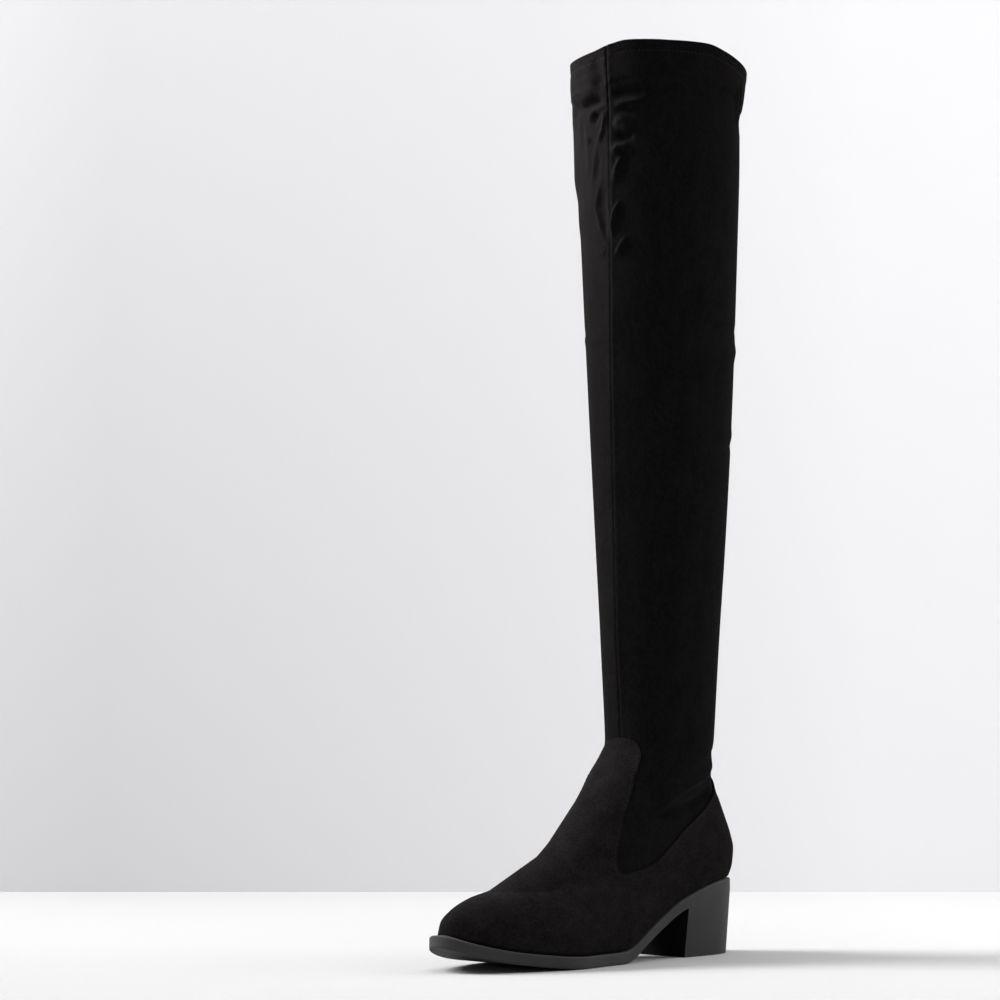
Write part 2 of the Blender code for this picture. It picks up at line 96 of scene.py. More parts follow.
# Top edge of the sole: run is a share of SOLE_LENGTH, heel of the heel's lift over
# the band, and toe of TOE_SPRING.
SOLE_LINE = table("run heel toe", [
    (0.00, 1.000, 0.00),
    (0.07, 0.988, 0.00),
    (0.14, 0.925, 0.00),
    (0.20, 0.825, 0.00),
    (0.26, 0.695, 0.00),
    (0.32, 0.500, 0.00),
    (0.385, 0.275, 0.00),
    (0.44, 0.090, 0.00),
    (0.475, 0.018, 0.00),
    (0.51, 0.000, 0.00),
    (0.64, 0.000, 0.00),
    (0.70, 0.000, 0.04),
    (0.75, 0.000, 0.11),
    (0.80, 0.000, 0.20),
    (0.86, 0.000, 0.34),
    (0.91, 0.000, 0.51),
    (0.96, 0.000, 0.74),
    (1.00, 0.000, 1.00),
])

# Centre line of the last from above: out is a share of SWING towards the outer side.
LAST_LINE = table("run out", [
    (0.00, 0.00),
    (0.15, 0.00),
    (0.25, 0.24),
    (0.35, 0.64),
    (0.45, 0.76),
    (0.55, 0.70),
    (0.64, 0.48),
    (0.72, 0.24),
    (0.80, 0.05),
    (0.88, -0.05),
    (1.00, -0.12),
])

# Rings of the foot. back_run and front_run place a ring's ends along the foot,
# back_rise and front_rise give their heights as shares of the way to the ankle,
# follow is how far the ring dips with the sole's edge, leg how far its width is the
# ankle's, and the rest are half widths as shares of SEAT_WIDTH or BALL_WIDTH.
FOOT_RINGS = table(
    "back_run back_rise front_run front_rise follow leg back heel waist joint ball toe", [
        (0.0000, 0.000, 1.000, 0.000, 1.00, 0.0, 0.893, 0.612, 0.432, 0.386, 0.531, 0.450),
        (-0.014, 0.100, 0.985, 0.076, 0.90, 0.0, 0.946, 0.634, 0.455, 0.407, 0.541, 0.430),
        (-0.017, 0.206, 0.930, 0.132, 0.74, 0.0, 0.964, 0.643, 0.500, 0.417, 0.516, 0.425),
        (-0.007, 0.317, 0.834, 0.180, 0.55, 0.0, 0.920, 0.629, 0.518, 0.400, 0.447, 0.430),
        (0.0115, 0.433, 0.679, 0.220, 0.36, 0.0, 0.862, 0.595, 0.507, 0.369, 0.380, 0.440),
        (0.0330, 0.555, 0.511, 0.315, 0.19, 0.0, 0.804, 0.559, 0.500, 0.354, 0.327, 0.420),
        (0.0539, 0.677, 0.343, 0.480, 0.07, 0.3, 0.760, 0.515, 0.485, 0.333, 0.290, 0.350),
        (0.0597, 0.809, 0.140, 0.749, 0.00, 0.7, 0.780, 0.480, 0.480, 0.330, 0.290, 0.270),
        (0.0562, 1.000, 0.000, 1.000, 0.00, 1.0, 0.600, 0.600, 0.600, 0.400, 0.400, 0.400),
    ])
WIDTH_PLACES = np.array([0.0, 0.16, 0.36, 0.56, 0.75, 1.0])

# Rings of the shaft: rise, depth and width are shares of the way from ankle to
# collar, sway of SHAFT_SWAY, drop of COLLAR_DROP, and twist is the seam's turn in degrees.
SHAFT_RINGS = table("rise depth width sway drop twist", [
    (0.000, 0.000, 0.000, 0.00, 0.0, 3.5),
    (0.140, 0.132, 0.132, 0.42, 0.0, 5.0),
    (0.290, 0.277, 0.332, 0.80, 0.0, 5.6),
    (0.500, 0.485, 0.540, 1.05, 0.0, 7.2),
    (0.709, 0.635, 0.720, 0.90, 0.1, 9.6),
    (0.843, 0.720, 0.820, 0.80, 0.3, 10.8),
    (0.905, 0.750, 0.840, 0.70, 0.6, 10.8),
    (0.965, 0.950, 0.950, 0.60, 0.9, 12.4),
    (1.000, 1.000, 1.000, 0.60, 1.0, 12.9),
])

# The slack collar stands up on its outer side: turn is the angle round the rim from
# its back in degrees, rise a share of COLLAR_WAVE.
RIM_LINE = table("turn rise", [
    (0, 0.15),
    (40, 0.15),
    (65, 0.24),
    (82, 0.40),
    (98, 0.72),
    (112, 1.00),
    (125, 0.90),
    (140, 0.78),
    (166, 0.74),
    (178, 0.40),
    (193, -0.08),
    (210, -0.20),
    (250, -0.10),
    (300, 0.00),
    (360, 0.15),
])

# Upper edge of the vamp and counter: turn is the angle from the heel's back in
# degrees, ring a row of FOOT_RINGS counted from the sole's edge.
VAMP_EDGE = table("turn ring", [
    (0, 6.55),
    (12, 6.35),
    (29, 5.70),
    (45, 5.22),
    (56, 4.95),
    (68, 4.72),
    (79, 4.40),
    (88, 4.14),
    (97, 4.02),
    (104, 4.05),
    (110, 4.45),
    (115, 5.05),
    (121, 5.75),
    (127, 6.25),
    (133, 6.70),
    (138, 7.05),
    (143, 7.40),
    (149, 7.68),
    (160, 7.90),
    (180, 7.97),
])
ANKLE_RING = len(FOOT_RINGS["leg"]) - 1
COLLAR_RING = ANKLE_RING + len(SHAFT_RINGS["rise"]) - 1
print("rings: ankle", ANKLE_RING, "collar", COLLAR_RING)


# %% Smooth curves
def curve(x, knots, values):
    """Smooth curve through knots that never overshoots them.

    Between two knots it is a cubic whose end slopes are the harmonic mean of the
    slopes on both sides, or nothing where these differ in sign.
    """
    x = np.clip(np.asarray(x, dtype=float), knots[0], knots[-1])
    step = np.diff(knots)
    rise = np.diff(values, axis=-1) / step
    left, right = rise[..., :-1], rise[..., 1:]
    same = left * right > 0
    mean = np.where(same, 2 * left * right / np.where(same, left + right, 1.0), 0.0)
    slope = np.concatenate([rise[..., :1], mean, rise[..., -1:]], axis=-1)
    i = np.clip(np.searchsorted(knots, x, side="right") - 1, 0, len(knots) - 2)
    t = (x - knots[i]) / step[i]

    def at(array, index):
        if array.ndim == 1:
            return array[index]
        return np.take_along_axis(array, index, axis=-1)

    y0, y1 = at(values, i), at(values, i + 1)
    m0, m1 = at(slope, i) * step[i], at(slope, i + 1) * step[i]
    bulge = t * (1 - t)
    return y0 + (y1 - y0) * t * t * (3 - 2 * t) + bulge * ((1 - t) * m0 - t * m1)


def ease(x):
    """Soft step from 0 to 1: 3 x squared minus 2 x cubed."""
    x = np.clip(x, 0, 1)
    return x * x * (3 - 2 * x)


# %% Rings and the skin
SLOPE_STEP = 1e-3  # small part of a turn or ring, over which slopes are taken


def sole_top(station):
    """Height of the sole's top edge at a distance from the sole's back."""
    run = station / SOLE_LENGTH
    heel = curve(run, SOLE_LINE["run"], SOLE_LINE["heel"])
    toe = curve(run, SOLE_LINE["run"], SOLE_LINE["toe"])
    return SOLE_BAND + heel * (HEEL_HEIGHT - SOLE_BAND) + toe * TOE_SPRING


def key_rings():
    """Work the ring tables out as lengths, one row for each ring."""
    foot, shaft = FOOT_RINGS, SHAFT_RINGS
    back0, tip = LIP_SIDE, SOLE_LENGTH - LIP_TOE
    seat, toe = sole_top(back0) + GAP, sole_top(tip) + GAP
    back = back0 + foot["back_run"] * SOLE_LENGTH
    ankle_front = back[-1] + ANKLE_DEPTH
    own = [foot[name] * SEAT_WIDTH for name in ("back", "heel", "waist")]
    own += [foot[name] * BALL_WIDTH for name in ("joint", "ball", "toe")]
    leg = foot["leg"]
    widths = np.array(own).T * (1 - leg)[:, None] + leg[:, None] * ANKLE_WIDTH / 2
    depth = ANKLE_DEPTH + shaft["depth"] * (COLLAR_DEPTH - ANKLE_DEPTH)
    width = ANKLE_WIDTH + shaft["width"] * (COLLAR_WIDTH - ANKLE_WIDTH)
    middle = back[-1] + ANKLE_DEPTH / 2 - shaft["sway"] * SHAFT_SWAY
    level = ANKLE_HEIGHT + shaft["rise"] * (SHAFT_HEIGHT - ANKLE_HEIGHT)
    front = ankle_front + foot["front_run"] * (tip - ankle_front)
    back_z = seat + foot["back_rise"] * (ANKLE_HEIGHT - seat)
    front_z = toe + foot["front_rise"] * (ANKLE_HEIGHT - toe)
    rows = {
        "back": np.append(back, (middle - depth / 2)[1:]),
        "front": np.append(front, (middle + depth / 2)[1:]),
        "back_z": np.append(back_z, (level - shaft["drop"] * COLLAR_DROP)[1:]),
        "front_z": np.append(front_z, level[1:]),
        "follow": np.append(foot["follow"], 0 * level[1:]),
        "leg": np.append(leg, 1 + 0 * level[1:]),
        "twist": np.append(shaft["twist"][0] * leg, shaft["twist"][1:]),
    }
    for i in range(len(WIDTH_PLACES)):
        rows["width%d" % i] = np.append(widths[:, i], (width / 2)[1:])
    return rows


RINGS = key_rings()
RING_NUMBERS = np.arange(COLLAR_RING + 1.0)
print("collar from", RINGS["back"][-1], "to", RINGS["front"][-1], "m from the sole's back")


def ring(name, v):
    """One column of the rings, between rows where v isn't whole."""
    return curve(v, RING_NUMBERS, RINGS[name])


def skin(u, v):
    """Point of the upper at angle u round ring v, from the heel's back.

    The share a along a ring is (1 - cos u) / 2, and the half width is sin u times
    the ring's width at a. The height runs straight from end to end and adds the
    sole's dip, which fades from ring to ring.
    """
    a = (1 - np.cos(u)) / 2
    station = ring("back", v) + (ring("front", v) - ring("back", v)) * a
    widths = np.stack([ring("width%d" % i, v) for i in range(len(WIDTH_PLACES))], -1)
    half = curve(a[..., None], WIDTH_PLACES, widths)[..., 0]
    line = SWING * curve(station / SOLE_LENGTH, LAST_LINE["run"], LAST_LINE["out"])
    across = half * np.sin(u) + line * (1 - ring("leg", v))
    edge = RINGS["back"][0] + (RINGS["front"][0] - RINGS["back"][0]) * a
    straight = RINGS["back_z"][0] + (RINGS["front_z"][0] - RINGS["back_z"][0]) * a
    dip = sole_top(edge) + GAP - straight
    height = ring("back_z", v) + (ring("front_z", v) - ring("back_z", v)) * a
    height = height + ring("follow", v) * dip
    return np.stack([across, ORIGIN_STATION - station, height], -1)


def rim_wave(u, v):
    """Lift of the cloth near the rim, which fades over WAVE_REACH down the shaft."""
    turn = np.degrees(u + np.radians(ring("twist", v)))
    line = curve(turn, RIM_LINE["turn"], RIM_LINE["rise"])
    below = ring("front_z", np.full(v.shape, float(COLLAR_RING))) - ring("front_z", v)
    return COLLAR_WAVE * line * ease(1 - below / WAVE_REACH)


def draped(u, v):
    """Point of the skin, raised where the slack collar stands up."""
    points = skin(u, v)
    points[..., 2] += rim_wave(u, v)
    return points


def skin_normal(u, v):
    """Outward direction of the skin, from the cross product of its two slopes."""
    v_low = np.clip(v - SLOPE_STEP, 0, COLLAR_RING - 2 * SLOPE_STEP)
    along_u = skin(u + SLOPE_STEP, v) - skin(u - SLOPE_STEP, v)
    along_v = skin(u, v_low + 2 * SLOPE_STEP) - skin(u, v_low)
    normal = np.cross(along_v, along_u)
    return normal / np.linalg.norm(normal, axis=-1, keepdims=True)


def ring_of_height(height):
    """Ring number on the shaft at a height over the floor."""
    fine = np.linspace(ANKLE_RING, COLLAR_RING, 2000)
    return np.interp(height, ring("front_z", fine), fine)


def seam_turn(u, v):
    """Turn the front of a ring outwards, so that its middle lies on the seam."""
    near = np.clip(1 - np.abs(u - math.pi) / (0.4 * math.pi), 0, 1)
    return u - np.radians(ring("twist", v)) * ease(near)


# %% [markdown]
# ## Measures on the cloth
# Folds, stitches and patterns are placed in cloth measures: s is the way round the
# leg from the front seam, positive towards the outer side, and h the height over the
# floor. They are measured once on a regular grid and read between its points.


# %% Cloth measures
CLOTH_TURNS = np.linspace(0, 2 * math.pi, 721)
CLOTH_RINGS = np.linspace(0, COLLAR_RING, 641)


def cloth_grid():
    """s and h of a regular grid of turns and rings, s by adding the steps along each ring."""
    v = np.broadcast_to(CLOTH_RINGS[:, None], (len(CLOTH_RINGS), len(CLOTH_TURNS)))
    points = draped(seam_turn(np.broadcast_to(CLOTH_TURNS, v.shape), v), v)
    steps = np.linalg.norm(np.diff(points, axis=1), axis=2)
    arc = np.concatenate([np.zeros((len(v), 1)), np.cumsum(steps, axis=1)], axis=1)
    middle = len(CLOTH_TURNS) // 2
    return (arc[:, middle:middle + 1] - arc) / MM, points[..., 2] / MM


CLOTH_S, CLOTH_H = cloth_grid()


def cloth_at(turn, v):
    """Cloth measures s and h in mm at a turn and ring, from the four grid points round it."""
    x = turn / (2 * math.pi) * (len(CLOTH_TURNS) - 1)
    y = v / COLLAR_RING * (len(CLOTH_RINGS) - 1)
    i = np.clip(x.astype(int), 0, len(CLOTH_TURNS) - 2)
    j = np.clip(y.astype(int), 0, len(CLOTH_RINGS) - 2)
    fx, fy = x - i, y - j

    def read(grid):
        low = grid[j, i] * (1 - fx) + grid[j, i + 1] * fx
        high = grid[j + 1, i] * (1 - fx) + grid[j + 1, i + 1] * fx
        return low * (1 - fy) + high * fy

    return read(CLOTH_S), read(CLOTH_H)


def cloth_map(s, h, rows):
    """UV lengths in metres of a closed grid, with one column more for its last strip."""
    ends = cloth_at(np.full(len(rows), 2 * math.pi), rows)[0]
    s = np.concatenate([s, ends[:, None]], axis=1)
    return np.stack([-s, np.concatenate([h, h[:, :1]], axis=1)], -1) * MM


print("girth at the ankle and the collar in mm:",
      [round(float(CLOTH_S[row, 0] - CLOTH_S[row, -1])) for row in (len(CLOTH_RINGS) // 2, -1)])

# %% [markdown]
# ## From grids to meshes
# Each fine surface is a grid of points. One helper joins its rows and columns into
# quads and gives it a UV map, so that a pattern can follow the cloth.


# %% Mesh helpers
def add_piece(name, mesh, material, nodes=()):
    """Put a finished mesh into the scene as a piece that rides on the boot."""
    obj = bpy.data.objects.new(name, mesh)
    bpy.context.scene.collection.objects.link(obj)
    obj.data.materials.append(material)
    mesh.shade_smooth()
    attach(obj, "root")
    if nodes:
        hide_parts(*nodes)
    print(name, len(mesh.polygons), "faces")
    return obj


def grid_quads(rows, columns, closed):
    """Corner numbers of a grid's quads, joined from the last column to the first if closed."""
    number = np.arange(rows * columns).reshape(rows, columns)
    if closed:
        number = np.concatenate([number, number[:, :1]], axis=1)
    corners = [number[:-1, :-1], number[:-1, 1:], number[1:, 1:], number[1:, :-1]]
    return np.stack(corners, -1).reshape(-1, 4)


def grid_mesh(name, points, cloth):
    """Mesh of a closed grid of points with a UV map from cloth, a grid of two lengths.

    cloth has one column more than points, so that the pattern doesn't run back along
    the last strip.
    """
    rows, columns = points.shape[:2]
    corners = grid_quads(rows, columns + 1, False)
    mesh = bpy.data.meshes.new(name)
    mesh.from_pydata(points.reshape(-1, 3), [], grid_quads(rows, columns, True))
    layer = mesh.uv_layers.new(name="cloth")
    layer.uv.foreach_set("vector", cloth.reshape(-1, 2)[corners.reshape(-1)].ravel())
    return mesh


# %% [markdown]
# ## Creases
# The suede is soft, so it keeps folds from packing and from its own weight. Each one
# is listed: a short path on the cloth in millimetres, s measured round the
# leg from the front seam towards the outer side and h up from the floor, with a half
# width and a depth. It is a soft ridge where the depth is positive, else a trough.


# %% Folds of the shaft
def along_path(s, h, path):
    """Distance of each cloth point from a path and its share of the way along it."""
    path = np.array(path, dtype=float)
    lengths = np.linalg.norm(np.diff(path, axis=0), axis=1)
    start = np.concatenate([[0], np.cumsum(lengths)[:-1]])
    best = np.full(s.shape, np.inf)
    share = np.zeros(s.shape)
    for a, b, begin, length in zip(path[:-1], path[1:], start, lengths):
        way = (b - a) / length
        t = np.clip((s - a[0]) * way[0] + (h - a[1]) * way[1], 0, length)
        away = np.hypot(s - a[0] - way[0] * t, h - a[1] - way[1] * t)
        nearer = away < best
        best = np.where(nearer, away, best)
        share = np.where(nearer, (begin + t) / lengths.sum(), share)
    return best, share


def fold(s, h, path, width, depth):
    """Soft ridge or trough: a bell across the path that fades towards both its ends."""
    away, share = along_path(s, h, path)
    fade = ease(np.minimum(share, 1 - share) * 3.2 + 0.06)
    return depth * np.exp(-(away / width) ** 2) * fade


# Each row: path as (s, h) points in mm, half width in mm, height in mm
SHAFT_FOLDS = [
    # under the hem on the inner side: a bulge over a deep hollow
    ([(-46, 575), (-38, 574.5), (-28, 574), (-16, 573), (-7, 571)], 4.0, 3.2),
    ([(-29, 566), (-20, 567), (-10, 567.5), (-3, 567)], 2.6, -2.4),
    ([(-46, 566), (-36, 566), (-25, 568)], 4.0, -1.2),
    ([(-20, 556), (-17, 560), (-12, 562.5), (-7, 563), (-1, 563)], 1.9, 1.7),
    ([(-4.5, 563), (-3.6, 555), (-5, 548), (-7.8, 543), (-10, 537)], 1.8, 2.0),
    ([(-8, 561), (-11.5, 558), (-16, 552)], 2.6, -2.2),
    ([(-21, 544), (-16.5, 542), (-12, 540)], 2.6, -1.4),
    ([(-25, 556), (-22, 544), (-21, 532), (-20, 520)], 2.4, 0.8),
    ([(-30, 560), (-29, 548), (-28, 536)], 3.0, -0.6),
    ([(-11.5, 541), (-13.5, 530), (-16, 518), (-17.5, 508)], 1.9, 0.9),
    ([(-9, 533), (-10.5, 522), (-11, 514)], 2.4, -0.9),
    ([(-13, 595), (-7, 586), (-3, 576)], 4.2, -1.8),
    ([(-22, 588), (-15, 583), (-9, 578)], 2.0, 1.0),
    ([(-36, 588), (-26, 587), (-15, 586.5)], 1.3, -0.8),
    # beside the seam on the outer side
    ([(2, 563), (10, 564.5), (19, 565.5), (26, 565)], 2.2, 2.4),
    ([(3, 571), (14, 571.5), (26, 570)], 3.0, -1.5),
    ([(3, 559), (12, 559.5), (22, 559)], 2.4, -0.7),
    ([(2.5, 552), (8, 552), (12.5, 548), (14, 544)], 3.6, 2.7),
    ([(5, 545), (10, 541.5), (17, 543)], 3.0, -1.7),
    ([(2, 530), (6, 535), (10.5, 535), (10.3, 531)], 2.4, 3.1),
    ([(9.5, 531), (7, 526), (4.7, 521), (2.9, 510)], 1.7, 2.0),
    ([(15, 534), (11.5, 525), (7, 514)], 2.8, -1.2),
    # dent and short folds on both sides of the seam
    ([(-4.2, 513), (-6.5, 498), (-5, 486), (-2.6, 470)], 4.0, -1.7),
    ([(-6.5, 517), (-10.8, 506), (-13, 497), (-10.4, 489), (-7.6, 481), (-5, 474),
      (-3, 467)], 1.7, 1.2),
    ([(-9, 467), (-3.5, 465)], 2.4, 1.0),
    ([(7.5, 501), (3.4, 493), (1.8, 486), (1.4, 475)], 1.3, 2.0),
    ([(9.5, 494), (5.4, 486), (4.2, 475)], 2.2, -1.0),
    ([(12, 476), (7.5, 470), (3.6, 462)], 1.4, 1.7),
    ([(14, 470), (9, 463)], 2.2, -0.7),
    # facing edge that shows through under the hem
    ([(12, 579), (24, 578.8), (36, 578.6), (51, 579.6), (60, 582), (70, 587.5)], 2.0, 1.5),
    ([(12, 574), (24, 573.6), (36, 573.2), (53, 574.5)], 2.6, -0.8),
    # packing fold round the knee
    ([(-50, 412), (-32, 412), (-16, 409.5), (-3, 409)], 3.0, 0.6),
    ([(-50, 417), (-29, 416.5), (-3, 413.5)], 3.0, -0.6),
    ([(50, 416), (76, 416.5), (100, 419), (125, 420)], 2.8, -1.0),
    ([(55, 399), (78, 401), (100, 404), (130, 406)], 5.0, 1.2),
    ([(54, 426), (62, 430.5), (73, 437), (90, 447)], 2.8, -1.0),
    ([(58, 434), (68, 441), (82, 450)], 3.2, 0.6),
    ([(66, 337), (81, 338.5), (104, 341), (122, 342)], 2.4, -0.7),
    ([(70, 345), (92, 347), (120, 349)], 3.2, 0.5),
    # fine creases of the front above the tongue
    ([(-20, 184), (-10, 184.5), (-1, 183)], 1.7, -0.6),
    ([(-22, 209), (-11, 209), (-2, 208)], 1.8, -0.5),
    ([(-22, 227), (-13, 227), (-3, 226)], 1.8, -0.45),
    ([(-20, 244), (-10, 243)], 2.2, -0.35),
    ([(4, 196), (16, 199), (30, 197)], 2.2, -0.4),
    # slack of both sides, long and shallow
    ([(34, 562), (38, 520), (42, 480), (40, 430)], 11.0, 0.5),
    ([(68, 556), (70, 510), (72, 460)], 12.0, -0.5),
    ([(34, 380), (38, 330), (38, 280), (36, 230)], 11.0, 0.35),
    ([(74, 390), (76, 330), (72, 270)], 12.0, -0.35),
    ([(-54, 582), (-54, 556), (-50, 506)], 13.0, 2.4),
    ([(-56, 530), (-54, 505), (-50, 480)], 12.0, 0.7),
    ([(-50, 579), (-60, 579), (-76, 579)], 10.0, -1.4),
    ([(-42, 597), (-60, 597), (-80, 597)], 9.0, -1.4),
    # back of the collar, folded in on the outer side
    ([(104.7, 588), (104.9, 579), (105.6, 571), (106.6, 563), (110, 555)], 2.0, 1.6),
    ([(109, 590), (110.5, 580), (111.5, 572), (112, 563), (113, 556)], 3.0, -2.6),
    ([(126, 594), (127, 580), (126, 566), (124, 552)], 9.0, -1.7),
    # inner side, hidden in the photo: the same kinds of fold
    ([(-60, 560), (-82, 566), (-104, 561)], 4.0, -0.9),
    ([(-58, 574), (-80, 577), (-106, 573)], 4.6, 0.7),
    ([(-56, 412), (-84, 415), (-112, 411), (-138, 413)], 3.2, -0.8),
    ([(-60, 405), (-90, 406), (-124, 404)], 4.0, 0.7),
    ([(-64, 470), (-78, 458), (-96, 452)], 3.8, -0.7),
    ([(-62, 330), (-74, 338), (-92, 340)], 3.6, -0.6),
    ([(-48, 180), (-66, 188), (-86, 190)], 3.2, -0.6),
    ([(-46, 172), (-64, 179), (-84, 181)], 3.4, 0.5),
]

# Folds where the leg bends into the foot, in the same measures
ANKLE_FOLDS = [
    ([(116, 127), (104, 121), (92, 117), (80, 112), (68, 106), (58, 103)], 5.4, 3.0),
    ([(150, 105), (124, 101), (104, 98), (84, 95), (68, 95.5), (54, 97)], 5.6, -4.2),
    ([(60, 106), (71, 101), (82, 99)], 3.2, 0.9),
    ([(104, 134), (88, 130), (70, 124)], 6.0, -0.9),
    ([(-112, 124), (-100, 118), (-85, 113), (-72, 107)], 5.2, 2.2),
    ([(-138, 105), (-118, 101), (-100, 99), (-83, 96), (-66, 96)], 5.0, -2.8),
    ([(-104, 132), (-88, 128), (-70, 122)], 6.0, -0.7),
]


def folds(s, h, rows):
    """Sum of all folds at cloth points, in metres."""
    return sum(fold(s, h, *row) for row in rows) * MM


print("folds:", len(SHAFT_FOLDS) + len(ANKLE_FOLDS))

# %% [markdown]
# ## The seam, the hem and the back of the collar
# The shaft is one piece of cloth closed by a seam up the front. The two edges are
# stitched right sides together and pressed open: that leaves a narrow valley with a
# low roll on both sides. At the top the cloth is turned in and stitched as a hem.
# Behind, the slack cloth under the collar folds in, so the outline narrows there.

# %% Seam and hem sizes, heights in metres and measures on the cloth in mm
SEAM_VALLEY = 0.40 * MM
SEAM_VALLEY_HALF = 0.6
SEAM_ROLL = 0.18 * MM
SEAM_ROLL_PLACE = 2.1
SEAM_ROLL_HALF = 1.2
SEAM_DEEPER = 0.4       # share by which the relief grows under the hem
SEAM_DEEPER_FROM = 530
SEAM_DEEPER_REACH = 40
PUCKER_PITCH = 8.5
PUCKER_SHARE = 0.9
PUCKER_DRIFT = 2.2      # how far the puckers stray from an even row, in radians
PUCKER_DRIFT_REACH = 19
FRONT_EDGE = 3.4 * MM
FRONT_EDGE_HALF = 13.0
FRONT_EDGE_ROUND = 0.8
FRONT_EDGE_LOW, FRONT_EDGE_LOW_REACH = 150, 60
FRONT_EDGE_HIGH, FRONT_EDGE_HIGH_REACH = 592, 50
FRONT_EDGE_KEPT = 0.35  # share of the roof that is left at the rim
HEM_RISE = 0.6 * MM
HEM_STEP = 2.0
STITCH_LINE = 7.5
STITCH_DENT = 0.30 * MM


def seam_relief(s, h):
    """Valley of the front seam, deeper under the hem, with a roll on both sides.

    The thread draws the rolls up into soft puckers, about PUCKER_PITCH mm apart.
    """
    drift = PUCKER_DRIFT * np.sin(h / PUCKER_DRIFT_REACH) + np.sign(s)
    pucker = 1 + PUCKER_SHARE * np.sin(2 * math.pi * h / PUCKER_PITCH + drift)
    roll = pucker * np.exp(-((np.abs(s) - SEAM_ROLL_PLACE) / SEAM_ROLL_HALF) ** 2)
    valley = np.exp(-(s / SEAM_VALLEY_HALF) ** 2)
    deeper = 1 + SEAM_DEEPER * ease((h - SEAM_DEEPER_FROM) / SEAM_DEEPER_REACH)
    return (SEAM_ROLL * roll - SEAM_VALLEY * valley) * deeper


def front_edge(s, h):
    """The shaft was packed flat, so its front stands up like a soft roof along the seam.

    The roof falls off on both sides. It rises from nothing above the ankle, and it
    sinks towards the rim.
    """
    low = ease((h - FRONT_EDGE_LOW) / FRONT_EDGE_LOW_REACH)
    high = ease((FRONT_EDGE_HIGH - h) / FRONT_EDGE_HIGH_REACH)
    along = low * (FRONT_EDGE_KEPT + (1 - FRONT_EDGE_KEPT) * high)
    away = np.sqrt(s * s + FRONT_EDGE_ROUND)
    return FRONT_EDGE * np.exp(-away / FRONT_EDGE_HALF) * along


def hem_relief(below):
    """Hem's doubled cloth and the dent of its stitch line, below in mm under the rim."""
    doubled = HEM_RISE * ease((HEM_HEIGHT / MM - below) / HEM_STEP)
    dent = STITCH_DENT * np.exp(-(below - STITCH_LINE) ** 2)
    return doubled - dent


# %% [markdown]
# ## The shaft
# The grid's columns lie closer beside the seam, where the relief is finest. The rows
# are sparse under the vamp, which hides them, and close above it.


# %% Shaft grid
HIDDEN_RING = 3.4       # up to here the vamp hides the shaft
FINE_FROM = 0.455       # height over which the folds are small and the rows close
FINE_STEP = 1.0 * MM
PLAIN_STEP = 2.2 * MM
TUCK = 1.3 * MM         # how far the cloth turns in over the sole's edge
TUCK_RINGS = 0.20
FACING_ROWS = np.concatenate([[0.8, 1.6], np.arange(3, 25, 1.5)])  # mm under the rim
NEAR_SEAM, AT_SEAM = 0.72, 0.11  # angles from the seam within which columns lie closer


def seam_columns():
    """Angles round a ring, close near the seam at u = pi and closest beside it."""
    base = np.linspace(0, 2 * math.pi, 180)[:-1]
    near = math.pi + np.linspace(-NEAR_SEAM, NEAR_SEAM, 83)
    fine = math.pi + np.linspace(-AT_SEAM, AT_SEAM, 33)
    return np.sort(np.concatenate([base[np.abs(base - math.pi) > NEAR_SEAM + 0.015],
                                   near[np.abs(near - math.pi) > AT_SEAM + 0.01], fine]))


def shaft_rows(top):
    """Ring numbers of the shaft's rows from the sole's edge to a height at the rim."""
    hidden = np.linspace(0, HIDDEN_RING, 7)[:-1]
    foot = np.linspace(HIDDEN_RING, ANKLE_RING, 70)[:-1]
    heights = np.concatenate([
        np.arange(ANKLE_HEIGHT, FINE_FROM, PLAIN_STEP),
        np.arange(FINE_FROM, top - 0.6 * FINE_STEP, FINE_STEP),
        [top],
    ])
    return np.concatenate([hidden, foot, ring_of_height(heights)])


def over_foot(v):
    """Share of all folds at a ring: none on the stiff foot, all from the instep up."""
    return ease((v - 3.2) / 0.6)


def seam_share(v):
    """Share of the seam's relief at a ring, which starts at the ankle."""
    return ease((v - ANKLE_RING + 0.5) * 2)


def leg_relief(turn, v):
    """How far folds, seam and hem move the upper's outside, and its cloth measures.

    Just over the sole the cloth turns in, which leaves a narrow dark groove there.
    """
    s, h = cloth_at(turn, v)
    rim = cloth_at(turn, np.full(v.shape, float(COLLAR_RING)))[1]
    out = folds(s, h, SHAFT_FOLDS) + folds(s, h, ANKLE_FOLDS)
    out = out + seam_relief(s, h) * seam_share(v) + front_edge(s, h) + hem_relief(rim - h)
    return out * over_foot(v) - TUCK * (1 - ease(v / TUCK_RINGS)), s, h


def leg_grid(rows):
    """Skin points, normals, relief and cloth measures of whole rows round the leg."""
    turns = seam_columns()
    v = np.broadcast_to(rows[:, None], (len(rows), len(turns)))
    turn = np.broadcast_to(turns, v.shape)
    u = seam_turn(turn, v)
    return draped(u, v), skin_normal(u, v), *leg_relief(turn, v)


